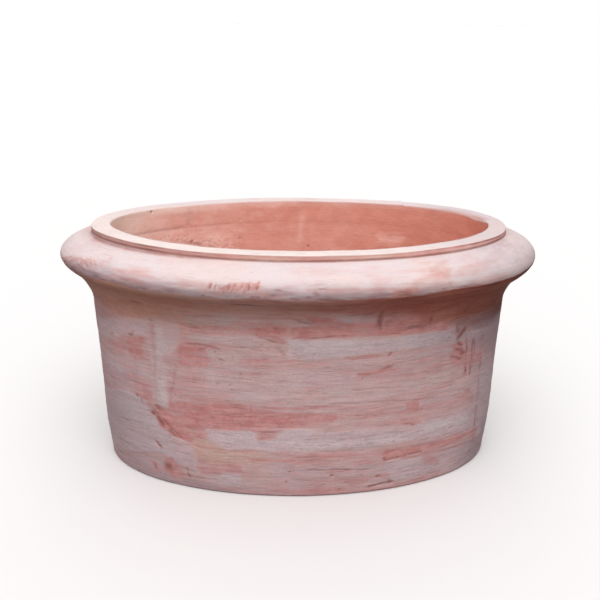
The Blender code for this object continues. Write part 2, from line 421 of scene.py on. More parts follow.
# Patches of the worn wash: zone, outline in the picture, softness and raggedness
# of the edge in mm, how bare the clay is (0 washed, 1 bare), force, how warm the
# wash is, and height of the layer in mm.
PATCHES = [
    # left of the joint
    ("wall", [(100, 317), (146, 319), (146, 335), (101, 335)], 4, 3, 0.14, 0.80, 0.0, 0.0),
    ("wall", [(103, 337), (128, 336), (144, 336), (144, 360), (135, 362), (127, 355), (105, 353)], 3, 3, 0.52, 0.80, 0.2, 0.0),
    ("wall", [(128, 337), (144, 337), (144, 359), (137, 361), (129, 354)], 2, 2, 0.80, 0.75, 0.0, 0.0),
    ("wall", [(112, 342), (124, 341), (124, 352), (114, 350)], 3, 3, 0.72, 0.60, 0.0, 0.0),
    ("wall", [(103, 360), (146, 364), (146, 378), (105, 378)], 5, 4, 0.34, 0.70, 0.0, 0.0),
    ("wall", [(112, 372), (144, 374), (152, 396), (142, 400), (128, 388), (112, 384)], 4, 3, 0.56, 0.75, 0.0, 0.0),
    ("wall", [(134, 384), (144, 382), (154, 398), (146, 404)], 2.5, 2.5, 0.74, 0.60, 0.0, 0.0),
    ("wall", [(98, 388), (126, 389), (146, 401), (150, 411), (162, 425), (178, 437), (197, 447), (198, 474), (178, 462), (160, 452), (114, 448), (103, 425)], 2.2, 1.8, 0.04, 0.93, 0.0, 0.35),
    ("wall", [(116, 444), (140, 456), (166, 476), (200, 487), (160, 481), (124, 462)], 4, 3, 0.48, 0.75, 0.0, 0.0),
    # the smeared joint itself
    ("wall", [(146, 316), (178, 318), (181, 338), (175, 350), (168, 366), (168, 410), (154, 404), (150, 360)], 3, 2, 0.17, 0.85, 0.15, 0.25),
    ("wall", [(149, 322), (155, 322), (156, 352), (150, 352)], 2.5, 1.5, 0.62, 0.75, 0.0, 0.0),
    ("wall", [(164, 353), (177, 352), (177, 366), (166, 364)], 2.5, 2, 0.62, 0.75, 0.0, 0.0),
    # right of it, from the top down
    ("wall", [(177, 323), (190, 324), (206, 327), (222, 331), (222, 334), (204, 334), (190, 332), (182, 328)], 1.6, 1.2, 0.62, 0.85, 0.2, -0.15),
    ("wall", [(150, 311), (200, 313), (280, 314), (286, 322), (200, 321), (152, 319)], 4, 3, 0.36, 0.60, 0.2, 0.0),
    ("wall", [(184, 315), (236, 318), (236, 325), (186, 323)], 3, 2.5, 0.10, 0.80, 0.2, 0.0),
    ("wall", [(206, 326), (250, 325), (290, 327), (290, 337), (250, 336), (206, 336)], 3, 3, 0.62, 0.85, 0.15, 0.0),
    ("wall", [(248, 326), (272, 326), (289, 329), (289, 341), (276, 342), (256, 336)], 3.2, 3.0, 0.76, 0.85, 0.3, 0.0),
    ("wall", [(181, 336), (208, 336), (252, 337), (262, 343), (250, 346), (208, 343), (188, 340)], 2.2, 2, 0.12, 0.80, 0.15, 0.15),
    ("wall", [(177, 347), (184, 341), (196, 343), (208, 345), (224, 351), (222, 364), (208, 367), (188, 367), (178, 361)], 1.8, 1.6, 0.76, 0.90, 0.0, -0.20),
    ("wall", [(208, 350), (262, 351), (288, 354), (288, 365), (240, 367), (210, 366)], 4, 3, 0.22, 0.80, 0.35, 0.0),
    ("wall", [(240, 357), (290, 358), (290, 364), (240, 365)], 2.5, 2.5, 0.56, 0.60, 0.0, 0.0),
    ("wall", [(179, 346), (206, 347), (207, 366), (180, 365)], 2.0, 1.8, 0.74, 0.75, 0.0, 0.0),
    ("wall", [(170, 369), (208, 368), (208, 386), (172, 388)], 5, 4, 0.54, 0.75, 0.1, 0.0),
    ("wall", [(206, 368), (244, 366), (244, 392), (208, 390)], 4, 4, 0.13, 0.80, 0.0, 0.0),
    ("wall", [(240, 368), (304, 368), (304, 400), (240, 400)], 5, 4, 0.16, 0.78, 0.25, 0.0),
    ("wall", [(172, 386), (238, 390), (238, 399), (172, 399)], 4, 4, 0.34, 0.75, 0.0, 0.0),
    ("wall", [(171, 402), (240, 405), (262, 408), (305, 413), (336, 416), (336, 423), (305, 426), (284, 432), (262, 441), (252, 432), (210, 430), (198, 442), (186, 443), (170, 430), (155, 416), (168, 408)], 2.6, 2.2, 0.74, 0.92, 0.1, -0.15),
    ("wall", [(186, 414), (226, 414), (262, 417), (296, 417), (296, 426), (240, 427), (188, 427)], 3, 3, 0.95, 0.80, 0.1, 0.0),
    ("wall", [(236, 401), (304, 401), (304, 410), (250, 409)], 3, 3, 0.38, 0.75, 0.1, 0.0),
    ("wall", [(151, 407), (160, 405), (180, 426), (187, 440), (176, 438), (160, 424)], 2.0, 2.0, 0.98, 0.90, 0.5, -0.15),
    ("wall", [(207, 430), (250, 431), (258, 441), (272, 441), (286, 432), (305, 431), (350, 431), (352, 449), (305, 451), (272, 452), (250, 449), (224, 450), (209, 441)], 2.0, 1.8, 0.03, 0.93, 0.0, 0.20),
    ("wall", [(194, 440), (208, 441), (224, 450), (272, 453), (272, 464), (240, 466), (204, 463), (194, 452)], 3.5, 3, 0.34, 0.80, 0.95, 0.0),
    ("wall", [(200, 465), (240, 465), (242, 473), (216, 475), (200, 475)], 2, 2, 0.74, 0.80, 0.0, 0.0),
    ("wall", [(242, 464), (272, 463), (272, 486), (242, 486)], 5, 4, 0.36, 0.70, 0.55, 0.0),
    ("wall", [(223, 475), (242, 475), (242, 484), (223, 484)], 2.5, 2, 0.10, 0.70, 0.0, 0.0),
    ("wall", [(272, 463), (300, 463), (300, 488), (272, 488)], 4, 4, 0.40, 0.70, 0.0, 0.0),
    ("wall", [(196, 483), (300, 487), (345, 487), (345, 492), (240, 494), (196, 489)], 2.5, 2.5, 0.60, 0.70, 0.0, 0.0),
    # the middle and the right
    ("wall", [(290, 319), (304, 322), (318, 326), (300, 328), (288, 326)], 2.5, 2, 0.40, 0.75, 0.2, 0.0),
    ("wall", [(304, 318), (336, 319), (346, 325), (330, 328), (312, 325)], 2, 1.8, 0.94, 0.85, 0.0, 0.0),
    ("wall", [(290, 329), (318, 326), (352, 329), (352, 338), (310, 340), (290, 340)], 2, 1.6, 0.86, 0.90, 0.15, -0.1),
    ("wall", [(336, 314), (377, 313), (377, 320), (352, 322), (338, 321)], 2.5, 2, 0.20, 0.75, 0.0, 0.0),
    ("wall", [(346, 324), (378, 323), (390, 325), (390, 334), (352, 336)], 2.5, 2, 0.86, 0.85, 0.1, 0.0),
    ("wall", [(386, 319), (404, 317), (432, 312), (450, 314), (448, 329), (428, 332), (408, 335), (388, 335)], 2, 1.8, 0.92, 0.85, 0.0, -0.1),
    ("wall", [(386, 313), (424, 311), (420, 318), (400, 320), (386, 319)], 2.5, 2, 0.74, 0.70, 0.0, 0.0),
    ("wall", [(434, 311), (456, 308), (453, 324), (436, 327)], 2.5, 2.5, 0.46, 0.70, 0.2, 0.0),
    ("wall", [(288, 341), (305, 342), (350, 341), (380, 339), (410, 335.5), (432, 332), (450, 329), (454, 341), (420, 347), (385, 350), (345, 356), (305, 361), (288, 360)], 2.0, 1.8, 0.03, 0.93, 0.0, 0.20),
    ("wall", [(312, 361), (340, 359), (410, 353), (446, 347), (450, 354), (420, 359), (360, 364), (306, 366)], 3, 3, 0.36, 0.82, 0.1, 0.0),
    ("wall", [(320, 366), (384, 362), (420, 358), (420, 363), (384, 367), (322, 372)], 2.5, 2.5, 0.22, 0.75, 0.2, 0.0),
    ("wall", [(306, 402), (345, 401), (345, 411), (306, 411)], 3, 3, 0.24, 0.70, 0.2, 0.0),
    ("wall", [(462, 378), (477, 376), (475, 408), (462, 410)], 3, 3, 0.60, 0.70, 0.2, 0.0),
    ("wall", [(300, 373), (360, 372), (380, 375), (352, 388), (304, 392)], 5, 4, 0.36, 0.78, 0.1, 0.0),
    ("wall", [(380, 367), (392, 364), (400, 367), (416, 367), (416, 375), (400, 374), (384, 377), (356, 378), (356, 374)], 3, 3.0, 0.60, 0.75, 0.0, 0.0),
    ("wall", [(316, 390), (400, 382), (444, 374), (470, 372), (474, 384), (440, 390), (400, 394), (316, 402)], 6, 5, 0.23, 0.75, 0.35, 0.0),
    ("wall", [(340, 402), (400, 397), (465, 388), (470, 406), (440, 413), (400, 417), (340, 424)], 5, 4, 0.45, 0.75, 0.2, 0.0),
    ("wall", [(306, 415), (330, 414), (338, 419), (310, 423)], 3, 3, 0.74, 0.80, 0.0, 0.0),
    ("wall", [(407, 402), (419, 401), (418, 411), (408, 411)], 2.2, 2.0, 0.95, 0.85, 0.0, 0.0),
    ("wall", [(398, 419), (421, 418), (419, 426), (398, 427)], 2.8, 2.6, 0.56, 0.80, 0.0, 0.0),
    ("wall", [(352, 422), (398, 418), (398, 428), (356, 432)], 3, 3, 0.46, 0.75, 0.0, 0.0),
    ("wall", [(350, 431), (400, 428), (440, 420), (472, 411), (476, 424), (440, 435), (400, 443), (384, 446), (350, 450)], 2.0, 1.8, 0.04, 0.92, 0.0, 0.20),
    ("wall", [(272, 453), (320, 453), (384, 451), (384, 464), (340, 464), (300, 462), (272, 461)], 2.4, 2.4, 0.52, 0.85, 0.1, 0.0),
    ("wall", [(384, 450), (416, 444), (450, 436), (478, 424), (482, 430), (460, 442), (430, 450), (416, 456), (400, 460), (384, 462)], 2, 2, 0.72, 0.88, 0.1, 0.0),
    ("wall", [(382, 453), (416, 446), (420, 453), (400, 459), (385, 461)], 2.2, 2.4, 0.95, 0.85, 0.35, -0.1),
    ("wall", [(300, 465), (384, 466), (384, 473), (330, 478), (300, 476)], 3, 3, 0.28, 0.75, 0.0, 0.0),
    ("wall", [(346, 480), (368, 478), (366, 486), (349, 487)], 2, 2, 0.74, 0.80, 0.1, 0.0),
    ("wall", [(385, 462), (424, 457), (440, 462), (425, 474), (395, 479), (386, 474)], 2.5, 2.2, 0.14, 0.85, 0.0, 0.15),
    ("wall", [(424, 455), (440, 455), (440, 464), (424, 465)], 2, 2, 0.58, 0.70, 0.0, 0.0),
    ("wall", [(440, 452), (470, 444), (478, 450), (464, 467), (440, 474)], 4, 3, 0.14, 0.80, 0.0, 0.0),
    ("wall", [(450, 353), (484, 346), (484, 361), (452, 366)], 3, 2.5, 0.76, 0.80, 0.0, 0.0),
    ("wall", [(463, 337), (477, 335), (475, 364), (463, 366)], 4.5, 4.0, 0.70, 0.75, 0.0, 0.0),
    ("wall", [(452, 344), (463, 341), (463, 357), (453, 359)], 3.0, 2.4, 0.98, 0.85, 0.0, 0.0),
    ("wall", [(462, 327), (468, 325), (462, 336), (456, 337)], 1.3, 1.2, 0.95, 0.85, 0.0, 0.0),
    ("wall", [(474, 328), (497, 324), (493, 345), (476, 345)], 4, 3, 0.36, 0.60, 0.0, 0.0),
    ("wall", [(477, 340), (487, 338), (486, 362), (478, 364)], 3.5, 3, 0.64, 0.70, 0.0, 0.0),
    ("wall", [(481, 354), (493, 350), (489, 400), (481, 440), (475, 440), (479, 400)], 2.5, 1.5, 0.10, 0.85, 0.0, 0.0),
    ("wall", [(470, 405), (478, 404), (476, 424), (470, 424)], 2.5, 2, 0.20, 0.70, 0.0, 0.0),
    ("wall", [(165, 459), (171, 457), (177, 467), (177, 475), (171, 476), (165, 471)], 2.4, 2.2, 0.95, 0.88, 0.3, -0.2),
    ("wall", [(150, 460), (158, 461), (161, 474), (152, 472)], 3, 3, 0.74, 0.75, 0.0, 0.0),
    ("wall", [(163, 470), (180, 470), (188, 480), (172, 479)], 3, 2.5, 0.82, 0.75, 0.0, 0.0),
    # the moulding
    ("roll", [(62, 258), (80, 257), (98, 262), (98, 270), (88, 275), (68, 271)], 4, 3, 0.40, 0.88, 0.0, 0.0),
    ("roll", [(98, 257), (114, 256), (112, 266), (100, 268)], 4, 3, 0.40, 0.75, 0.0, 0.0),
    ("roll", [(220, 286), (232, 284), (257, 285), (259, 291), (240, 293), (221, 292)], 3, 2.5, 0.46, 0.85, 0.4, 0.0),
    ("roll", [(430, 268), (440, 261), (449, 260), (449, 281), (438, 283), (431, 277)], 4, 4, 0.52, 0.80, 0.3, 0.0),
    ("roll", [(462, 255), (480, 252), (484, 262), (470, 274), (460, 276), (458, 266)], 4, 4, 0.22, 0.65, 0.0, 0.0),
    ("roll", [(449, 257), (461, 255), (458, 274), (450, 277)], 3, 3, 0.03, 0.80, 0.0, 0.0),
    ("roll", [(488, 256), (512, 250), (518, 262), (496, 270)], 3, 3, 0.05, 0.75, 0.0, 0.0),
    ("roll", [(412, 258), (432, 257), (430, 270), (414, 274)], 4, 4, 0.22, 0.70, 0.2, 0.0),
    ("roll", [(394, 290), (405, 288), (416, 290), (417, 299), (394, 300)], 4, 3.5, 0.98, 0.90, 0.0, 0.0),
    ("roll", [(370, 276), (392, 277), (391, 284), (372, 285)], 3, 3, 0.28, 0.75, 0.0, 0.0),
    ("roll", [(460, 268), (500, 262), (500, 274), (464, 278)], 4, 4, 0.22, 0.70, 0.0, 0.0),
    ("roll", [(470, 258), (498, 254), (500, 262), (474, 266)], 4, 4, 0.20, 0.70, 0.0, 0.0),
    ("roll", [(308, 287), (322, 286), (324, 299), (309, 300)], 5, 4, 0.62, 0.70, 0.0, 0.0),
    ("roll", [(406, 281), (440, 272), (446, 284), (410, 288)], 4, 4, 0.64, 0.85, 0.2, 0.0),
    ("roll", [(126, 262), (152, 266), (154, 279), (130, 274)], 4, 4, 0.50, 0.75, 0.1, 0.0),
    ("roll", [(174, 280), (206, 283), (206, 291), (176, 289)], 4, 4, 0.58, 0.75, 0.2, 0.0),
    ("roll", [(332, 288), (360, 287), (362, 297), (334, 298)], 4, 4, 0.60, 0.75, 0.0, 0.0),
    ("roll", [(286, 289), (304, 290), (304, 298), (286, 298)], 4, 4, 0.44, 0.70, 0.0, 0.0),
]

# Rubbed places with a broken, slanted grain: zone, outline, bareness, force, slant
# of the grain, grains per metre along and up, how warm.
SCUFFS = [
    ("roll", [(64, 259), (82, 256), (99, 261), (99, 271), (86, 275), (70, 269)], 0.60, 0.55, -0.2, 200, 210, 0.0),
    ("roll", [(98, 261), (112, 256), (118, 262), (106, 267)], 0.40, 0.45, -0.2, 200, 210, 0.0),
    ("roll", [(367, 277), (392, 275), (394, 284), (371, 287)], 0.42, 0.50, -0.3, 160, 150, 0.0),
    ("roll", [(392, 288), (418, 287), (419, 298), (394, 300)], 1.00, 0.45, -0.2, 150, 260, 0.0),
    ("roll", [(426, 262), (449, 260), (450, 282), (430, 284)], 0.44, 0.45, 0.1, 120, 130, 0.2),
    ("roll", [(456, 254), (488, 250), (486, 274), (460, 278)], 0.42, 0.45, 0.1, 140, 150, 0.0),
    ("roll", [(490, 254), (520, 248), (520, 268), (494, 272)], 0.34, 0.45, 0.1, 140, 150, 0.0),
    ("roll", [(306, 288), (326, 287), (326, 299), (308, 299)], 0.80, 0.35, -0.2, 180, 210, 0.0),
    ("roll", [(255, 291), (292, 292), (292, 299), (258, 299)], 0.60, 0.60, -0.1, 150, 300, 0.0),
    ("roll", [(340, 291), (380, 289), (384, 297), (342, 299)], 0.42, 0.45, -0.1, 140, 280, 0.0),
    ("roll", [(220, 284), (258, 283), (260, 291), (223, 293)], 0.62, 0.60, -0.2, 170, 170, 0.30),
]

# Grey patches: painted shade low on the nose and just under the moulding's right end, and grey over the rubbed places
# at the moulding's left end: zone, outline, softness and raggedness in mm, strength.
SHADE_GREYS = [
    ("roll", [(62, 257), (80, 258), (98, 262), (100, 271), (88, 276), (66, 271)], 5, 4, 0.20),
    ("roll", [(98, 264), (114, 260), (114, 272), (100, 277)], 5, 4, 0.22),
    ("roll", [(206, 287), (220, 284), (260, 286), (290, 290), (290, 297), (220, 296)], 5, 4, 0.14),
    ("roll", [(308, 286), (324, 286), (326, 298), (308, 299)], 4, 4, 0.14),
    ("wall", [(456, 318), (470, 316), (466, 340), (455, 341)], 4, 3, 0.16),
    ("wall", [(404, 335), (450, 330), (454, 341), (408, 345)], 5, 4, 0.10),
]

# Rows of short slanted strokes: zone, first and last spot, how many, their length
# and lean in the picture, half width in mm, bareness, force, how warm.
HATCHES = [
    ("roll", (221, 288.5), (258, 287.5), 12, 10, 4.0, 1.0, 0.98, 0.85, 0.35),
    ("roll", (226, 286), (254, 285), 8, 4, 2.0, 0.9, 0.66, 0.70, 0.40),
    ("roll", (206, 286), (219, 288), 4, 9, 3.5, 0.95, 0.75, 0.75, 0.15),
    ("roll", (66, 261), (97, 268), 14, 9, -3.0, 1.0, 0.85, 0.80, 0.0),
    ("roll", (72, 258), (97, 262), 10, 6, -3.0, 0.9, 0.75, 0.75, 0.0),
    ("roll", (72, 267), (94, 272), 9, 6, -2.0, 1.1, 0.90, 0.80, 0.0),
    ("roll", (99, 263), (113, 258), 6, 6, 3.0, 1.0, 0.62, 0.65, 0.0),
    ("roll", (452, 262), (488, 257), 11, 6, 3.0, 1.4, 0.36, 0.50, 0.0),
    ("roll", (455, 271), (484, 266), 9, 5, 3.0, 1.4, 0.42, 0.50, 0.0),
    ("roll", (371, 281), (392, 279), 7, 6, 2.5, 1.3, 0.36, 0.50, 0.0),
    ("wall", (452, 355), (464, 350), 6, 8, 4.0, 1.1, 0.98, 0.80, 0.0),
]

# Single strokes on top: zone, spots in the picture, half width in mm, softness,
# fade of the ends in mm, raggedness, bareness and force.
BARE = [
    ("wall", [(246, 460), (304, 460)], 1.8, 0.6, 12, 0.5, 0.85, 0.8),
    ("wall", [(200, 408), (240, 408)], 1.6, 0.7, 12, 0.5, 0.98, 0.7),
    ("wall", [(262, 408), (304, 409)], 1.4, 0.7, 12, 0.5, 0.85, 0.6),
    ("wall", [(300, 457), (352, 455), (384, 452)], 1.6, 0.7, 14, 0.6, 0.78, 0.6),
    ("wall", [(418, 447), (450, 440), (478, 428)], 2.0, 0.7, 12, 0.6, 0.92, 0.7),
    ("wall", [(420, 456), (446, 449), (470, 440)], 1.8, 0.7, 12, 0.6, 0.75, 0.6),
    ("wall", [(345, 416), (400, 411), (440, 406)], 1.5, 0.8, 14, 0.7, 0.70, 0.55),
    ("wall", [(345, 358), (382, 355)], 2.0, 0.7, 10, 0.6, 0.78, 0.7),
    ("wall", [(306, 364), (340, 361)], 2.0, 0.7, 10, 0.6, 0.60, 0.4),
    ("wall", [(418, 354), (446, 348)], 1.5, 0.8, 8, 0.6, 0.12, 0.7),
    ("wall", [(392, 361), (430, 356)], 1.4, 0.8, 8, 0.6, 0.18, 0.6),
    ("wall", [(330, 392), (380, 389)], 2.2, 0.8, 14, 0.7, 0.14, 0.6),
    ("wall", [(345, 406), (392, 402)], 1.6, 0.8, 12, 0.7, 0.16, 0.55),
    ("wall", [(243, 363), (276, 357)], 1.6, 0.8, 10, 0.6, 0.75, 0.5),
    ("wall", [(246, 342), (266, 343)], 1.8, 0.8, 8, 0.6, 0.20, 0.6),
    ("wall", [(466, 341), (465, 374)], 2.0, 0.8, 6, 0.6, 0.86, 0.8),
    ("wall", [(472, 338), (470, 374)], 2.2, 0.8, 6, 0.6, 0.86, 0.8),
    ("wall", [(484, 340), (478, 400), (471, 446)], 2.4, 0.9, 10, 0.5, 0.60, 0.7),
    ("wall", [(155, 439), (163, 450)], 1.6, 0.7, 3, 0.5, 0.85, 0.9),
    ("wall", [(404, 456), (424, 452)], 1.4, 0.7, 8, 0.6, 0.10, 0.7),
    ("wall", [(386, 461), (408, 457)], 1.2, 0.7, 8, 0.6, 0.06, 0.8),
    ("wall", [(228, 341), (246, 340), (262, 343)], 0.9, 0.8, 6, 0.6, 0.80, 0.7),
    ("wall", [(236, 345), (252, 344), (266, 347)], 0.9, 0.8, 6, 0.6, 0.55, 0.5),
    ("wall", [(226, 338), (250, 337), (264, 341)], 1.2, 0.8, 6, 0.6, 0.02, 0.7),
    ("wall", [(230, 343), (252, 342)], 1.0, 0.8, 6, 0.6, 0.02, 0.7),
    ("wall", [(250, 328), (270, 331), (289, 336)], 1.5, 0.7, 8, 0.6, 1.0, 0.8),
    ("wall", [(254, 333), (272, 337), (287, 342)], 1.4, 0.7, 8, 0.6, 1.0, 0.75),
    ("wall", [(262, 327), (286, 330)], 1.2, 0.7, 8, 0.6, 0.95, 0.6),
    ("wall", [(358, 375), (378, 372), (398, 368)], 1.4, 0.8, 8, 0.6, 0.95, 0.75),
    ("wall", [(404, 424), (420, 422)], 1.3, 0.8, 5, 0.6, 0.98, 0.85),
    ("wall", [(300, 409), (346, 406)], 1.0, 0.8, 8, 0.6, 0.80, 0.45),
    ("wall", [(420, 390), (452, 385)], 1.3, 0.8, 10, 0.6, 0.85, 0.6),
    ("wall", [(424, 396), (470, 386)], 1.2, 0.8, 10, 0.6, 0.80, 0.55),
    ("wall", [(408, 363), (440, 356)], 1.1, 0.8, 8, 0.6, 0.60, 0.4),
    ("wall", [(416, 370), (456, 362)], 1.3, 0.8, 8, 0.6, 0.84, 0.6),
]

# Dark lines scratched or dragged in the soft clay, and bands of painted shade: zone, spots, half width in mm, depth in
# mm, how dark, how bare.
SCORES_AND_SHADE = [
    ("wall", [(483, 334), (478, 388), (471, 446)], 0.9, 0.55, 0.55, 0.6),
    ("wall", [(150, 321), (154, 360), (156, 404)], 1.8, 0.40, 0.14, 0.36),
    ("wall", [(176, 366), (170, 404)], 1.6, 0.30, 0.10, 0.6),
    ("wall", [(180, 324), (204, 331)], 1.2, 0.35, 0.16, 0.7),
    ("wall", [(185, 343), (197, 344), (209, 346), (223, 351)], 1.0, 0.40, 0.42, 0.8),
    ("wall", [(196, 350), (206, 348), (214, 345)], 1.0, 0.35, 0.36, 0.8),
    ("wall", [(223, 350), (234, 348), (248, 348), (262, 347)], 0.8, 0.40, 0.30, 0.5),
    ("wall", [(244, 347), (255, 350), (264, 351)], 0.8, 0.35, 0.30, 0.6),
    ("wall", [(273, 348), (279, 350), (285, 355)], 1.6, 0.45, 0.64, 0.7),
    ("wall", [(256, 336), (272, 341), (285, 343)], 1.1, 0.30, 0.55, 0.9),
    ("wall", [(270, 328), (281, 330)], 1.7, 0.30, 0.45, 0.9),
    ("wall", [(110, 333), (115, 334)], 1.9, 0.30, 0.50, 0.7),
    ("wall", [(128, 334), (135, 335)], 1.9, 0.30, 0.50, 0.7),
    # painted shadow along the edge of the raised slip at the diagonal ledge, in shallow grooves
    ("wall", [(135, 391), (139, 398)], 1.7, 0.35, 0.55, 0.8),
    ("wall", [(141, 396), (143, 403)], 1.6, 0.35, 0.50, 0.8),
    ("wall", [(151, 410), (156, 417)], 2.4, 0.50, 0.75, 0.9),
    ("wall", [(156, 416), (163, 425)], 2.6, 0.50, 0.75, 0.9),
    ("wall", [(169, 429), (176, 437)], 2.2, 0.50, 0.65, 0.9),
    ("wall", [(155, 404), (160, 410)], 2.4, 0.30, 0.45, 0.9),
    ("wall", [(456, 342), (464, 348)], 2.2, 0.30, 0.80, 0.9),
    ("wall", [(454, 348), (459, 350), (464, 355)], 2.4, 0.30, 0.75, 0.9),
    ("wall", [(450, 356), (456, 357), (462, 360)], 2.0, 0.30, 0.65, 0.9),
    ("wall", [(466, 364), (465, 376)], 1.2, 0.35, 0.85, 0.9),
    ("wall", [(471, 363), (470, 376)], 1.2, 0.35, 0.80, 0.9),
    ("wall", [(378, 371), (387, 368), (395, 367)], 2.4, 0.25, 0.46, 0.95),
    ("wall", [(355, 375), (372, 374)], 1.3, 0.25, 0.40, 0.9),
    ("wall", [(384, 456), (385, 462)], 1.4, 0.35, 0.75, 0.9),
    ("wall", [(386, 460), (399, 457)], 1.2, 0.30, 0.60, 0.9),
    ("wall", [(300, 407), (345, 406)], 0.9, 0.25, 0.25, 0.7),
    ("wall", [(404, 455), (424, 451)], 1.0, 0.30, 0.50, 0.8),
    ("wall", [(214, 357), (224, 361)], 1.2, 0.35, 0.40, 0.8),
    ("wall", [(117, 416), (144, 423)], 0.9, 0.30, 0.30, 0.3),
    ("wall", [(155, 439), (163, 450)], 1.3, 0.60, 0.60, 0.9),
    ("wall", [(187, 464), (188, 476), (193, 480)], 1.1, 0.55, 0.50, 0.7),
    ("wall", [(167, 458), (168, 467), (171, 475)], 5.2, 0.40, 0.95, 0.95),
    ("wall", [(154, 463), (157, 470)], 2.0, 0.30, 0.50, 0.9),
    ("wall", [(260, 434), (281, 433)], 1.0, 0.30, 0.40, 0.7),
    ("wall", [(262, 439), (279, 437)], 1.0, 0.30, 0.35, 0.7),
    ("wall", [(250, 404), (251, 413)], 1.0, 0.25, 0.35, 0.8),
    ("wall", [(290, 339), (335, 336)], 1.0, 0.25, 0.35, 0.9),
    ("wall", [(400, 329), (424, 326)], 1.0, 0.25, 0.40, 0.9),
    ("wall", [(382, 308), (381, 318), (379, 329)], 3.2, 0.40, 0.68, 0.9),
    ("wall", [(377, 325), (383, 325)], 1.95, 0.20, 0.55, 0.9),
    ("wall", [(471, 298), (467, 306), (463, 321)], 5.4, 0.35, 0.85, 0.9),
    ("wall", [(460, 314), (457, 327), (458, 338)], 3.4, 0.30, 0.60, 0.9),
    ("wall", [(468, 323), (464, 329), (457, 338)], 2.8, 0.40, 1.00, 0.9),
    ("wall", [(430, 314), (431, 321), (430, 329)], 3.0, 0.30, 0.58, 0.9),
    ("wall", [(401, 330), (415, 328), (431, 325)], 1.95, 0.35, 0.80, 0.9),
    ("wall", [(322, 337), (350, 335)], 0.9, 0.25, 0.60, 0.9),
    # wide bands of painted shade just under the moulding
    ("wall", [(414, 324), (442, 321)], 6.0, 0.0, 0.34, 0.95),
    ("wall", [(346, 315), (378, 314), (410, 312)], 6.0, 0.0, 0.36, 0.70),
    ("wall", [(180, 323), (200, 326)], 1.1, 0.30, 0.20, 0.7),
    # painted shade in the hollow just under the nose's lower edge
    ("under", [(232, 305), (262, 307)], 2.2, 0.25, 0.55, 0.9),
    ("under", [(128, 300), (146, 303)], 2.4, 0.25, 0.45, 0.9),
    # painted shadow along the diagonal ledge
    ("wall", [(150, 405), (158, 414), (170, 427), (184, 441)], 1.6, 0.50, 0.40, 0.9),
    ("wall", [(388, 355), (391, 352)], 1.5, 0.40, 0.45, 0.8),
    ("wall", [(466, 338), (467, 347), (465, 360)], 1.5, 0.30, 0.70, 0.9),
    ("wall", [(473, 337), (472, 350), (471, 362)], 1.5, 0.30, 0.66, 0.9),
    ("wall", [(475, 336), (473, 366)], 1.0, 0.25, 0.50, 0.8),
    ("wall", [(461, 345), (460, 358)], 1.6, 0.35, 0.55, 0.9),
    ("wall", [(352, 389), (400, 387), (455, 381)], 0.8, 0.22, 0.25, 0.6),
    ("wall", [(330, 404), (390, 401), (470, 392)], 0.8, 0.22, 0.22, 0.6),
    ("wall", [(306, 470), (371, 469)], 1.0, 0.30, 0.40, 0.7),
    ("wall", [(330, 474), (332, 477)], 1.6, 0.50, 0.50, 0.7),
    ("wall", [(374, 478), (380, 475)], 1.8, 0.60, 0.55, 0.7),
    ("wall", [(405, 425), (418, 423)], 1.3, 0.30, 0.75, 0.9),
    ("roll", [(211, 283), (209, 288)], 1.1, 0.15, 0.50, 0.9),
    ("roll", [(216, 284), (214, 291)], 1.1, 0.15, 0.55, 0.9),
    ("roll", [(222, 286), (220, 292)], 1.3, 0.15, 0.65, 0.9),
    ("roll", [(229, 284), (227, 290)], 1.1, 0.15, 0.50, 0.9),
    ("roll", [(236, 283), (233, 289)], 1.1, 0.15, 0.50, 0.9),
    ("roll", [(243, 284), (241, 290)], 1.1, 0.15, 0.45, 0.9),
    ("roll", [(249, 284), (247, 291)], 1.2, 0.15, 0.55, 0.9),
    ("roll", [(258, 286), (256, 291)], 1.2, 0.15, 0.55, 0.9),
    ("roll", [(271, 289), (287, 291)], 1.0, 0.15, 0.50, 0.6),
    ("roll", [(76, 262), (82, 268), (86, 272)], 1.2, 0.15, 0.40, 0.9),
    ("roll", [(84, 262), (90, 268)], 1.1, 0.15, 0.40, 0.9),
    ("roll", [(68, 259), (74, 266)], 1.2, 0.15, 0.35, 0.9),
    ("wall", [(290, 318), (302, 322), (317, 326)], 1.95, 0.30, 0.34, 0.8),
    ("wall", [(150, 317), (152, 332), (152, 347)], 3.2, 0.25, 0.12, 0.55),
    # painted shadow just under the nose's lower edge, along the wash line
    ("roll", [(243, 300), (256, 301.5), (270, 302), (286, 303)], 1.95, 0.20, 0.60, 0.9),
    ("roll", [(321, 301), (334, 301.8), (347, 300.8)], 1.95, 0.20, 0.60, 0.9),
    ("roll", [(288, 300), (304, 300)], 1.95, 0.20, 0.45, 0.9),
    ("roll", [(425, 294.5), (442, 292)], 1.95, 0.20, 0.40, 0.9),
    ("inside", [(182, 241.5), (193, 243), (203, 245.5)], 1.95, 0.40, 0.60, 0.0),
    ("inside", [(206, 246.5), (217, 247)], 1.95, 0.40, 0.45, 0.0),
    ("inside", [(194, 211), (184, 224)], 8.0, 0.0, 0.25, 0.0),
    ("roll", [(394, 297), (405, 295), (418, 296)], 4.0, 0.20, 0.62, 0.95),
    ("roll", [(398, 292), (410, 291)], 2.6, 0.20, 0.28, 0.95),
    ("roll", [(312, 293), (321, 297)], 2.2, 0.20, 0.40, 0.80),
    ("wall", [(363, 488), (378, 485), (391, 482)], 1.4, 1.00, 0.85, 0.7),
    ("wall", [(386, 483), (392, 481)], 2.2, 1.20, 0.80, 0.7),
]

# Pits: zone, spot, radius in mm, depth in mm.
PITS = [
    ("inside", (151.5, 213), 2.6, 2.2),
    ("inside", (192, 242), 2.6, 2.0),
    ("inside", (308, 246), 2.4, 1.8),
    ("inside", (240, 238), 1.8, 1.2),
    ("wall", (160, 446), 2.4, 0.9),
    ("wall", (289, 472), 2.2, 0.8),
    ("wall", (286, 482), 2.0, 0.8),
    ("wall", (332, 476), 2.2, 0.8),
    ("wall", (215, 352), 1.8, 0.6),
    ("wall", (314, 355), 1.8, 0.6),
]

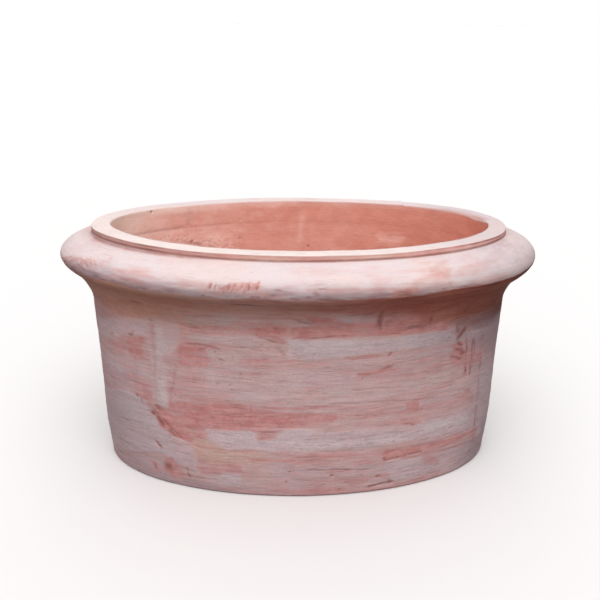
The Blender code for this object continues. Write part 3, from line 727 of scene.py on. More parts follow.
# Pale marks of slip: zone, spots, half width in mm, softness, strength.
PALE = [
    ("wall", [(157, 326), (163, 350)], 6, 0.7, 0.45),
    ("wall", [(161, 378), (164, 402)], 5, 0.6, 0.50),
    ("wall", [(212, 437), (262, 438)], 7, 0.7, 0.40),
    ("wall", [(285, 446), (345, 444)], 8, 0.7, 0.45),
    ("wall", [(300, 346), (360, 341)], 7, 0.7, 0.45),
    ("wall", [(400, 341), (450, 335)], 5, 0.7, 0.35),
    ("wall", [(420, 428), (466, 418)], 6, 0.7, 0.50),
    ("wall", [(360, 441), (412, 436)], 6, 0.7, 0.35),
    ("wall", [(395, 465), (420, 462)], 5, 0.7, 0.35),
    ("wall", [(116, 398), (140, 410)], 8, 0.8, 0.35),
    ("wall", [(284, 342), (302, 345)], 6, 0.7, 0.45),
    ("inside", [(178, 204), (162, 222)], 4, 0.9, 0.34),
    ("inside", [(302, 214), (299, 245)], 4, 0.9, 0.28),
    ("inside", [(372, 239), (408, 240)], 9, 0.9, 0.50),
    ("inside", [(205, 240), (225, 239)], 6, 0.9, 0.30),
]

rng = np.random.default_rng(20774)


def wander():
    """Strokes for the sides that the picture doesn't show, in the same manner."""
    marks = []
    start = float(s_of(np.radians(np.array([-1.0])))[0])
    stop = float(s_of(np.radians(np.array([181.0])))[0])
    for _ in range(40):
        s0 = rng.uniform(start, stop)
        span = rng.uniform(0.03, 0.11)
        t0 = rng.uniform(0.008, 0.232)
        drop = rng.normal(0, 0.004)
        bare = rng.choice([0.06, 0.14, 0.72, 0.88])
        half = rng.uniform(0.0012, 0.0032)
        marks.append(([(s0, t0), (s0 + span, t0 + drop)], half, 0.7, 0.014, 0.6, bare, 0.7, 0.0))
    return marks


def blotches():
    """Irregular patches of thick and thin wash for the same sides."""
    found = []
    start = float(s_of(np.radians(np.array([2.0])))[0])
    stop = float(s_of(np.radians(np.array([178.0])))[0])
    for k in range(64):
        cs = rng.uniform(start, stop)
        on_roll = k % 5 == 4
        ct = rng.uniform(T_NOSE - 0.002, T_CREASE - 0.012) if on_roll else rng.uniform(0.006, 0.226)
        wide = rng.uniform(0.010, 0.030) if on_roll else rng.uniform(0.018, 0.075)
        tall = rng.uniform(0.004, 0.008) if on_roll else rng.uniform(0.005, 0.015)
        lean = rng.normal(0, 0.05)
        outline = []
        for j in range(11):
            a = 2 * math.pi * j / 11
            grow = rng.uniform(0.65, 1.15)
            ds, dt = wide * grow * math.cos(a), tall * grow * math.sin(a)
            outline.append((cs + ds, min(max(ct + dt + lean * ds, 0.001), T_CREASE - 0.004)))
        level = rng.choice([0.22, 0.34, 0.5]) if on_roll else rng.choice([0.04, 0.05, 0.12, 0.34, 0.5, 0.74, 0.86])
        lift = 0.0002 if level < 0.1 else -0.0001 if level > 0.7 else 0.0
        found.append((outline, rng.uniform(0.0018, 0.004), rng.uniform(0.0018, 0.003), level, 0.85, rng.choice([0.0, 0.0, 0.3]), lift))
    return found


def settled():
    """All listed marks, with their spots turned into skin coordinates."""
    bare = [
        ([place(z, *p) for p in path], half / 1e3, soft, fade / 1e3, ragged, level, force, 0.0)
        for z, path, half, soft, fade, ragged, level, force in BARE
    ]
    for z, first, last, count, size, lean, half, level, force, heat in HATCHES:
        for k in range(count):
            f = (k + rng.uniform(0.15, 0.85)) / count
            x = first[0] + (last[0] - first[0]) * f
            y = first[1] + (last[1] - first[1]) * f + rng.normal(0, 0.7)
            tall, tilt = size * rng.uniform(0.3, 0.58), lean * rng.uniform(0.3, 0.65)
            path = [place(z, x - tilt, y + tall), place(z, x + rng.normal(0, 0.3), y), place(z, x + tilt, y - tall)]
            bare.append((path, half / 1e3 * rng.uniform(0.7, 1.3), 0.9, 0.003, 0.5, level, force * rng.uniform(0.6, 1.0), heat))
    scuffs = [
        ([place(z, *p) for p in outline], level, force, slant, per_s, per_t, heat)
        for z, outline, level, force, slant, per_s, per_t, heat in SCUFFS
    ]
    shade_greys = [
        ([place(z, *p) for p in outline], soft / 1e3, ragged / 1e3, force)
        for z, outline, soft, ragged, force in SHADE_GREYS
    ]
    scores_and_shade = [
        ([place(z, *p) for p in path], half / 1e3, depth / 1e3, dark_and_shade, level)
        for z, path, half, depth, dark_and_shade, level in SCORES_AND_SHADE
    ]
    pits = [(place(z, *spot), radius / 1e3, depth / 1e3, 0.50) for z, spot, radius, depth in PITS]
    pale = [
        ([place(z, *p) for p in path], half / 1e3, soft, force)
        for z, path, half, soft, force in PALE
    ]
    # grit that fell out of the clay, all round
    for _ in range(130):
        spot = (rng.uniform(0, GIRTH), rng.uniform(0.004, T_NECK))
        pits.append((spot, rng.uniform(0.0008, 0.0019), rng.uniform(0.0003, 0.0008), 0.45))
    for _ in range(60):
        spot = (rng.uniform(0, GIRTH), rng.uniform(T_INNER + 0.004, T_FLOOR))
        pits.append((spot, rng.uniform(0.0008, 0.0017), rng.uniform(0.0003, 0.0008), 0.28))
    layers_of_wash = blotches() + [
        ([place(z, *p) for p in outline], soft / 1e3, ragged / 1e3, level, force, warm, lift / 1e3)
        for z, outline, soft, ragged, level, force, warm, lift in PATCHES
    ]
    # nicks along the lower edge of the wash
    for _ in range(240):
        s0 = rng.uniform(0, GIRTH)
        angle = float(np.degrees(th_of(np.array([s0])))[0])
        t0 = float(wash_line(angle)) - 0.0005 + rng.exponential(0.0026)
        path = [(s0, t0), (s0 + rng.uniform(0.003, 0.013), t0 + rng.normal(0, 0.0005))]
        scores_and_shade.append((path, rng.uniform(0.0005, 0.0010), 0.0003, rng.uniform(0.15, 0.55), 0.75))
    # crumbs lost from the inside, low on the left
    for _ in range(130):
        x = rng.uniform(146, 245)
        y = 239 + 0.13 * (x - 150) - rng.exponential(5.0)
        pits.append((place("inside", x, y), rng.uniform(0.0009, 0.0020), rng.uniform(0.0003, 0.0008), rng.uniform(0.04, 0.34)))
        if rng.uniform() < 0.7:
            ps, pt = place("inside", x + rng.uniform(-3, 3), y + rng.uniform(-1.0, 1.0))
            pale.append(([(ps, pt), (ps + 0.003, pt)], 0.0020, 0.8, 0.55))
    return layers_of_wash, wander() + bare, scuffs, scores_and_shade, pits, pale, shade_greys


WASHES, MARKS, RUBS, GROOVES_AND_SHADE, HOLES, SLIPS, SHADE_GREY_PATCHES = settled()


def fields(S, T, th):
    """Height in metres along the normal, and the finish with its painted shade, from 0 to 1."""
    outside = T < T_NECK
    roll = (T >= T_NECK) & (T <= T_CREASE)
    lip = (T > T_CREASE) & (T < T_INNER)
    inside = T >= T_INNER

    broad = layers(S, T, 7, 9, 11, 2)
    lump = layers(S, T, 26, 30, 21, 2)
    drag = layers(S, T + 0.003 * noise(S, T, 9, 16, 29), 13, 130, 31, 3, 0.6)
    fine = layers(S, T, 60, 420, 41, 2)
    grit = layers(S, T, 300, 300, 51, 2)

    h_wall = 0.0008 * broad + 0.00025 * lump + 0.00034 * drag + 0.00016 * fine
    h_roll = 0.0007 * broad + 0.0004 * lump + 0.00022 * drag + 0.00012 * fine
    h_lip = 0.0003 * broad + 0.0002 * lump + 0.00005 * fine
    h_in = 0.0009 * broad + 0.0006 * lump + 0.00020 * drag + 0.00018 * grit
    to_roll = ease(T_NECK - 0.012, T_NECK + 0.012, T)
    h = h_wall * (1 - to_roll) + h_roll * to_roll
    h = np.where(lip, h_lip, h)
    h = np.where(inside, h_in * ease(T_INNER, T_INNER + 0.008, T) + h_lip, h)
    # the crease stays crisp
    h = h * np.where(roll, 1 - 0.8 * ease(T_CREASE - 0.006, T_CREASE, T), 1.0)

    bent = T + 0.0045 * noise(S, T, 8, 14, 59)
    flow = layers(S, bent, 10, 42, 61, 4, 0.6)
    haze = layers(S, T, 5, 9, 71, 2)
    mottle = layers(S, T, 34, 60, 91, 3, 0.6)
    east = np.cos(th)
    bare_wall = 0.38 + 0.22 * flow + 0.12 * haze + 0.14 * mottle + 0.06 * drag
    bare_roll = 0.07 + 0.10 * flow + 0.12 * haze + 0.16 * mottle
    # the wash stops at a worn line under the nose
    angle = (np.degrees(th) + 180) % 360 - 180
    line = wash_line(angle) + 0.0009 * layers(S, T * 0, 18, 1, 95, 3) + 0.0006 * layers(S, T, 90, 200, 96, 2)
    above = T - line
    under = 1 - ease(-0.0007, 0.0007, above)
    smudge = layers(S, T, 30, 120, 99, 3, 0.6)
    reach = 0.022 * (1 + 0.40 * layers(S, T * 0, 20, 1, 103, 3) + 0.30 * layers(S, T * 0, 85, 1, 104, 2))
    blush = (1 - ease(0.0005, reach, above)) * np.interp(angle, (-180, -150, -130, -95, -75, -55, -35, -10, 10, 180), (0.45, 0.45, 0.34, 0.28, 0.46, 0.40, 0.18, 0.06, 0.10, 0.45))
    bare_roll = bare_roll + blush * (0.9 + 0.6 * mottle + 0.8 * smudge)
    bare_roll = bare_roll + 0.28 * np.exp(-(((angle + 131) / 30) ** 2)) * (1 - ease(0.004, 0.036, above)) * (1 + 0.8 * smudge)
    dapple = layers(S, T, 62, 100, 107, 3, 0.65)
    bare_roll = bare_roll + 0.13 * dapple * ease(0.25, 0.75, east)
    bare_roll = bare_roll + 0.09 * np.exp(-(((angle + 50) / 24) ** 2))
    # under it the clay is raw in the hollow and thinly washed on the neck
    hollow_foot = T_NECK + np.interp(
        angle,
        (-180, -165, -151, -140, -132, -116, -103, -91, -80, -67, -55, -43, -30, -15, 20, 180),
        (-0.022, -0.020, -0.014, -0.004, 0.008, 0.018, 0.021, 0.016, 0.026, 0.020, 0.002, -0.016, -0.021, -0.020, -0.004, -0.022),
    )
    hollow_foot = hollow_foot + 0.006 * flow + 0.004 * drag + 0.003 * mottle
    deep = ease(hollow_foot - 0.007 - 0.008 * ease(0.6, 0.9, -east), hollow_foot + 0.015, T)
    raw_level = np.interp(angle, (-180, -151, -132, -116, -103, -91, -80, -67, -43, 0, 180), (0.66, 0.68, 0.60, 0.50, 0.54, 0.60, 0.74, 0.95, 1.0, 0.95, 0.80))
    raw_level = raw_level + 0.16 * flow + 0.16 * drag
    neck_level = 0.48 + 0.22 * east + 0.22 * flow + 0.14 * mottle
    hollow_level = neck_level + (raw_level - neck_level) * deep
    bare_roll = bare_roll * (1 - under) + hollow_level * under
    lower = 0.012 * ease(0.6, 0.9, -east)
    lower = lower + 0.008 * ease(0.6, 0.85, east)
    top_band = ease(T_NECK - 0.016 - lower, T_NECK + 0.002 - lower, T)
    bare_wall = bare_wall * (1 - top_band) + hollow_level * top_band
    bare = np.where(outside, bare_wall, bare_roll)
    foot = 1 - ease(0.0, 0.010, T)
    bare = bare + 0.10 * foot
    bare = np.where(lip, 0.04 + 0.08 * haze + 0.08 * lump - 0.10 * ease(0.3, 0.8, east), bare)
    face = (T > T_CREASE) & (T < T_EDGE - 0.0010)
    bare = np.where(face, 0.70 + 0.34 * layers(S, T, 16, 90, 81, 3), bare)
    # inside, the limy left end and a limy strip along the top there
    strip = ease(0.45, 0.80, -east) * (1 - ease(T_INNER + 0.003, T_INNER + 0.014, T)) * (0.75 + 0.5 * mottle)
    bare = np.where(inside, np.maximum(ease(0.78, 0.96, -east), strip), bare)
    pale = np.zeros_like(S)
    dark_and_shade = np.zeros_like(S)
    warm = np.clip(0.18 + 0.5 * haze, 0, 1) * outside
    west = ease(0.2, 0.75, -east)
    neck_zone = ease(T_NECK - 0.018, T_NECK + 0.014, T) * under
    warm = np.maximum(warm, neck_zone * ease(-0.5, 0.7, -east))
    warm = np.where(inside, ease(0.75, 0.97, east), np.where(face, 0.75, warm))
    rust = np.interp(angle, (-180, -165, -151, -132, -116, -103, -91, -80, -67, -55, -40, 0, 90, 165, 180), (0.08, 0.10, 0.26, 0.16, 0.06, 0.12, 0.24, 0.42, 0.74, 0.85, 0.88, 0.85, 0.55, 0.40, 0.15))
    rust = under * deep * (rust + 0.22 * drag + 0.10 * fine)
    rust = np.maximum(rust, neck_zone * (0.46 * west + 0.30 * ease(0.3, 0.7, east)) * (1 + 0.5 * flow))
    rim = ease(line - 0.004, line + 0.001, T)

    # cream on the front of the lip
    top = ease(T_EDGE - 0.0016, T_EDGE - 0.0002, T) * (T < T_INNER + 0.002)
    cream = top * (0.80 - 0.62 * ease(0.1, 0.9, east) - 0.18 * ease(0.6, 1.0, -east)) * (1 - 0.85 * ease(-0.1, 0.6, np.sin(th)))
    pale = np.maximum(pale, cream * (0.9 + 0.25 * mottle))

    # painted shade in the crease under the lip, dark from the foot of the lip's face
    chipped = layers(S, T * 0, 36, 1, 105, 3, 0.65)
    crease_shade = np.exp(-(((T - T_CREASE - 0.0016 - 0.0004 * chipped) / 0.0013) ** 2)) * (T > T_CREASE - 0.0004)
    dark_and_shade = dark_and_shade + crease_shade * (T < T_EDGE) * (0.64 + 0.10 * np.abs(east) - 0.20 * ease(0.3, 0.8, east) + 0.25 * chipped)
    # painted shadow in a line just under the lip's outer edge, strongest towards the ends
    ends = 0.08 + 0.42 * ease(0.20, 0.70, east) + 0.40 * ease(0.20, 0.75, -east)
    edge_shadow_line = np.exp(-(((T - T_EDGE + 0.0019 + 0.0005 * chipped) / 0.0010) ** 2))
    dark_and_shade = dark_and_shade + 1.30 * edge_shadow_line * ends * np.clip(0.70 + 0.9 * chipped, 0.35, 1)
    # the lip's inner edge: a painted shade line where it turns down, barer and less creamy at the front
    front = ease(0.2, 0.7, -np.sin(th))
    inner_edge_shade = np.exp(-(((T - T_INNER + 0.0002 + 0.0012 * front) / (0.0009 + 0.0011 * front)) ** 2))
    wear_and_shade = inner_edge_shade * np.clip(0.8 + 0.9 * chipped, 0.2, 1)
    dark_and_shade = dark_and_shade + wear_and_shade * (0.20 + 0.30 * front)
    pale = pale * (1 - 0.9 * wear_and_shade * front)
    bare = bare + 0.30 * wear_and_shade * front

    # inside: paler and limier to the left, redder to the right; the joint line
    chalk = 0.34 + 0.64 * ease(0.22, 0.84, -east) - 0.34 * ease(0.15, 0.75, east)
    chalk = chalk + 0.10 * haze + 0.20 * mottle * ease(-0.6, 0.4, -east) + 0.06 * mottle
    chalk = chalk + 0.34 * (1 - ease(T_INNER, T_INNER + 0.014, T))
    chalk = chalk - 0.10 * (1 - ease(T_JOINT - 0.004, T_JOINT + 0.006, T))
    chalk = chalk - 0.30 * np.exp(-(((angle - 130) / 8) ** 2)) * ease(T_INNER + 0.006, T_INNER + 0.016, T)
    pale = np.where(inside, np.clip(chalk, 0, 1), pale)
    seam = np.exp(-(((T - T_JOINT - 0.0012 * noise(S, T * 0, 30, 1, 97)) / 0.0022) ** 2))
    clear = 0.18 + 0.82 * ease(-0.15, 0.65, -east)
    h = h - 0.00045 * seam * inside * clear
    dark_and_shade = dark_and_shade + 0.24 * seam * inside * clear * (0.7 + 0.6 * noise(S, T * 0, 14, 1, 98))

    # grey: painted shade along the lower nose, on the moulding's right end, beside the lip on the left, on the
    # underside's ends, under the moulding, low on the wall and just inside the lip; greyer also at the foot, at both
    # ends of the lip's face, along the back of the lip's outer edge and on the lip to the right
    # painted shade on the lower nose above the wash line, broad and thin
    broad_nose_shade = np.interp(angle, (-180, -150, -135, -114, -100, -85, -45, -25, 0, 180), (0.30, 0.34, 0.46, 0.40, 0.28, 0.30, 0.25, 0.15, 0.14, 0.30))
    thin_nose_shade = np.interp(angle, (-180, -118, -100, -90, -65, -45, -20, 180), (0.06, 0.08, 0.14, 0.34, 0.34, 0.20, 0.12, 0.06))
    grime_and_shade = broad_nose_shade * (1 - ease(0.004, 0.028, above)) + thin_nose_shade * (1 - ease(0.002, 0.012, above))
    grime_and_shade = grime_and_shade * ease(-0.0008, 0.0006, above) * (0.85 + 0.8 * smudge + 0.3 * drag)
    upper = ease(T_NOSE, T_NOSE + 0.013, T) * (T < T_CREASE)
    far_right, far_left = ease(0.92, 0.995, east), ease(0.92, 0.995, -east)
    # painted shade over the moulding's top towards its right end, less at the very end, and a little at the left end
    grime_and_shade = grime_and_shade + upper * (0.30 * ease(0.40, 0.95, east) - 0.14 * far_right + 0.06 * ease(0.6, 0.98, -east)) * (1 + 0.6 * mottle + 0.7 * dapple)
    # painted shadow on the moulding beside the lip on the left: reddish, grey and darker into the crease
    beside_lip_shade = ease(0.25, 0.82, -east) * np.exp(np.minimum(0, T - T_CREASE) / 0.0064) * (T <= T_CREASE) * np.clip(1 + 0.8 * smudge, 0, 2)
    bare = bare + 0.56 * beside_lip_shade * (1 - 0.6 * ease(0.90, 0.985, -east))
    grime_and_shade = grime_and_shade + 0.12 * beside_lip_shade
    dark_and_shade = dark_and_shade + 0.14 * beside_lip_shade * np.exp(np.minimum(0, T - T_CREASE) / 0.0030)
    # painted shade on the underside at the moulding's right and left ends, along the wash line at the right end and in
    # the hollow at the left end
    dark_and_shade = dark_and_shade + 0.34 * far_right * np.exp(-(((T - T_NOSE + 0.023) / 0.010) ** 2))
    dark_and_shade = dark_and_shade + 0.12 * ease(0.86, 0.96, east) * np.exp(-((above / 0.0055) ** 2)) * (above > 0)
    dark_and_shade = dark_and_shade + 0.16 * far_left * np.exp(-(((T - T_NOSE + 0.014) / 0.012) ** 2))
    grime_and_shade = grime_and_shade + 0.10 * far_right * np.exp(-(((T - T_NOSE + 0.004) / 0.010) ** 2))
    grime_and_shade = grime_and_shade + 0.24 * ease(0.84, 0.97, -east) * under * deep
    pale = np.maximum(pale, upper * ease(0.35, 0.75, east) * np.clip(0.45 * dapple - 0.05, 0, 0.25))
    # painted shade low on the wall at the left front and near the right end, at the sole on the left front and on the
    # wall's left end; greyer in the last 10 mm above the floor
    low_wall_shade = np.exp(-(((angle + 150) / 20) ** 2)) * (1 - ease(0.10, 0.17, T))
    low_wall_shade = low_wall_shade + 0.85 * np.exp(-(((angle + 24) / 16) ** 2)) * (1 - ease(0.02, 0.09, T))
    sole_shade = np.exp(-(((angle + 122) / 20) ** 2)) * (1 - ease(0.006, 0.024, T))
    grime_and_shade = grime_and_shade + outside * (0.31 * low_wall_shade + 0.10 * foot + 0.06 * np.maximum(0, mottle) + 0.42 * sole_shade + 0.13 * ease(0.78, 0.93, -east) * ease(0.03, 0.07, T))
    dark_and_shade = dark_and_shade + 0.05 * outside * sole_shade
    # painted shade on the wall's right end and, darker, on its top under the moulding's right end
    grime_and_shade = grime_and_shade + outside * (0.32 * ease(0.72, 0.90, east) + 0.34 * ease(0.30, 0.85, east) * ease(0.14, 0.20, T))
    dark_and_shade = dark_and_shade + 0.15 * outside * ease(0.76, 0.92, east) * ease(0.14, 0.20, T) * (1 - 0.5 * ease(0.205, 0.225, T))
    # painted shade on the top of the wall just under the moulding, at the left and towards the right
    grime_and_shade = grime_and_shade + 0.08 * west * np.exp(-(((T - T_NECK) / 0.022) ** 2)) * under
    grime_and_shade = grime_and_shade + 0.22 * ease(0.42, 0.80, east) * np.exp(-(((T - T_NECK + 0.012) / 0.018) ** 2)) * under
    grime_and_shade = grime_and_shade + (0.15 * west + 0.15 * ease(0.35, 0.75, east)) * (T > T_CREASE) * (T < T_EDGE - 0.002)
    grime_and_shade = grime_and_shade * (~inside)
    edge = np.exp(-(((T - T_EDGE) / 0.0011) ** 2)) * ease(0.0, 0.3, np.sin(th)) * ease(-0.3, 0.3, east)
    grime_and_shade = grime_and_shade + 0.45 * edge + lip * (T > T_EDGE) * 0.20 * ease(0.45, 0.9, east)
    # painted shade just inside the lip's inner edge, where it turns down, less to the left
    grime_and_shade = grime_and_shade + 0.16 * inside * (1 - ease(T_INNER + 0.001, T_INNER + 0.008, T)) * (1 - 0.8 * ease(0.4, 0.85, -east))

    # painted shade in the hollow under the moulding, deepest to the right, a painted shadow just under the nose's lower
    # edge, and the pressed fold in the lip
    hollow_shade = 0.22 * ease(-0.30, 0.60, east) + 0.42 * ease(0.5, 0.85, east) + 0.34 * ease(0.8, 0.97, east) - 0.04 + 0.12 * drag + 0.08 * fine + 0.06 * flow
    dark_and_shade = dark_and_shade + under * deep * np.clip(hollow_shade, 0, 1) * (T < T_NOSE)
    # painted shadow in a band just under the wash line, below the nose's lower edge
    under_nose_shadow = np.exp(-(((above + 0.0024) / 0.0032) ** 2)) * under
    dark_and_shade = dark_and_shade + (0.42 - 0.40 * ease(0.05, 0.55, -east)) * under_nose_shadow * np.clip(0.7 + 0.9 * smudge, 0, 1)
    fold = bump(th, 14.0, 10.0)
    bare = bare + 0.30 * fold * ease(T_INNER - 0.0060, T_INNER - 0.0035, T) * (T < T_INNER + 0.003)
    # painted shadow line at the foot of the pressed fold
    dark_and_shade = dark_and_shade + 0.25 * fold * np.exp(-(((T - T_INNER - 0.0018) / 0.0012) ** 2))
    rubbed = ease(1, 9, angle) * (1 - ease(34, 54, angle)) * (lip | (T < T_INNER + 0.002)) * (T > T_EDGE)
    bare = bare + 0.50 * rubbed * ease(T_INNER - 0.0105, T_INNER - 0.0085, T)
    dark_and_shade = dark_and_shade + 0.18 * rubbed * np.exp(-(((T - T_INNER + 0.0098) / 0.0012) ** 2))
    dark_and_shade = dark_and_shade + 0.10 * ease(1, 9, angle) * (1 - ease(34, 54, angle)) * np.exp(-(((T - T_INNER) / 0.0030) ** 2))

    for k, (outline, soft, ragged, level, force, heat, lift) in enumerate(WASHES):
        near, cover = patch(S, T, outline, soft, ragged, 2000 + 11 * k)
        if len(near):
            h[near] += lift * cover
            cover = cover * force
            bare[near] = bare[near] * (1 - cover) + (level + 0.16 * mottle[near] + 0.08 * flow[near]) * cover
            if level > 0.7:
                grime_and_shade[near] *= 1 - 0.7 * cover
            warm[near] = warm[near] * (1 - cover) + heat * cover
    for k, (outline, level, force, slant, per_s, per_t, heat) in enumerate(RUBS):
        near, cover = patch(S, T, outline, 0.0018, 0.0014, 3000 + 13 * k)
        if len(near):
            grains = layers(S[near] + slant * T[near], T[near], per_s, per_t, 3007 + 13 * k, 2)
            cover = cover * force * ease(-0.22, 0.26, grains)
            bare[near] = bare[near] * (1 - cover) + level * cover
            warm[near] = warm[near] * (1 - cover) + heat * cover
            grime_and_shade[near] *= 1 - 0.8 * cover * level
            h[near] -= 0.00015 * cover
    for k, (path, half, soft, fade, ragged, level, force, heat) in enumerate(MARKS):
        near, cover = trail(S, T, path, half, soft, fade, ragged, 100 + 7 * k)
        if len(near):
            cover = cover * force
            bare[near] = bare[near] * (1 - cover) + level * cover
            warm[near] = np.maximum(warm[near], heat * cover)
            h[near] += 0.00012 * cover * (0.5 - level)
    # grey patches: painted shade low on the nose and under the moulding's right end
    for k, (outline, soft, ragged, force) in enumerate(SHADE_GREY_PATCHES):
        near, cover = patch(S, T, outline, soft, ragged, 4000 + 11 * k)
        if len(near):
            grime_and_shade[near] += force * cover * (1 + 0.8 * smudge[near])
    # dark lines; those under the nose, under the moulding and at the ledge are painted shade
    for k, (path, half, depth, shade, level) in enumerate(GROOVES_AND_SHADE):
        size = sum(math.hypot(float(wrap(b[0] - a[0])), b[1] - a[1]) for a, b in zip(path, path[1:]))
        wide = half > 0.0019
        near, cover = trail(S, T, path, half, 0.9, min(half * 5, size * 0.35), 0.15 if wide else 0.45, 900 + 7 * k, 0.0011, 0.15 if wide else 0.60)
        if len(near):
            h[near] -= depth * cover
            dark_and_shade[near] = np.maximum(dark_and_shade[near], 0.80 * shade * cover)
            bare[near] = bare[near] * (1 - cover * 0.7) + level * cover * 0.7
    for k, (path, half, soft, force) in enumerate(SLIPS):
        near, cover = trail(S, T, path, half, soft, half * 1.2, 0.5, 1400 + 7 * k)
        if len(near):
            pale[near] = pale[near] + (1 - pale[near]) * cover * force
    for (ps, pt), radius, depth, shade in HOLES:
        ds, dt = wrap(S - ps), T - pt
        near = np.nonzero((np.abs(ds) < radius * 1.6) & (np.abs(dt) < radius * 1.6))[0]
        if len(near):
            d = np.hypot(ds[near], dt[near]) / radius
            cup = 1 - ease(0.25, 1.1, d)
            h[near] -= depth * cup
            dark_and_shade[near] = np.maximum(dark_and_shade[near], shade * cup)
    masks = {"bare": bare, "pale": pale, "dark_and_shade": dark_and_shade, "grime_and_shade": grime_and_shade, "warm": warm, "rust": rust, "rim": rim}
    return h, {key: np.clip(value, 0, 1) for key, value in masks.items()}


# ------------------------------------------------------------------ materials
def new_material(name):
    m = bpy.data.materials.new(name)
    m.use_nodes = True
    tree = m.node_tree
    for n in list(tree.nodes):
        if n.type != "OUTPUT_MATERIAL":
            tree.nodes.remove(n)
    out = [n for n in tree.nodes if n.type == "OUTPUT_MATERIAL"][0]
    shader = tree.nodes.new("ShaderNodeBsdfPrincipled")
    tree.links.new(shader.outputs[0], out.inputs["Surface"])
    return m, tree, shader


def node(tree, kind, **values):
    n = tree.nodes.new(kind)
    for key, value in values.items():
        setattr(n, key, value)
    return n


def texture(tree, coord, scale, detail=3.0, rough=0.55, bend=0.0):
    m = node(tree, "ShaderNodeMapping")
    m.inputs["Scale"].default_value = scale
    tree.links.new(coord, m.inputs["Vector"])
    n = node(tree, "ShaderNodeTexNoise")
    n.inputs["Scale"].default_value = 1.0
    n.inputs["Detail"].default_value = detail
    n.inputs["Roughness"].default_value = rough
    n.inputs["Distortion"].default_value = bend
    tree.links.new(m.outputs[0], n.inputs["Vector"])
    return n.outputs["Fac"]


def math_node(tree, kind, a, b):
    n = node(tree, "ShaderNodeMath", operation=kind)
    for socket, value in ((n.inputs[0], a), (n.inputs[1], b)):
        if isinstance(value, (int, float)):
            socket.default_value = value
        else:
            tree.links.new(value, socket)
    return n.outputs[0]


def spread(tree, value, lo, hi, to_lo=0.0, to_hi=1.0):
    n = node(tree, "ShaderNodeMapRange", interpolation_type="SMOOTHSTEP")
    tree.links.new(value, n.inputs["Value"])
    n.inputs["From Min"].default_value = lo
    n.inputs["From Max"].default_value = hi
    n.inputs["To Min"].default_value = to_lo
    n.inputs["To Max"].default_value = to_hi
    return n.outputs["Result"]


def blend_colour(tree, fac, a, b):
    n = node(tree, "ShaderNodeMix", data_type="RGBA")
    for socket, value in ((n.inputs[0], fac), (n.inputs[6], a), (n.inputs[7], b)):
        if isinstance(value, (int, float)):
            socket.default_value = value
        elif isinstance(value, tuple):
            socket.default_value = (*value, 1.0)
        else:
            tree.links.new(value, socket)
    return n.outputs[2]


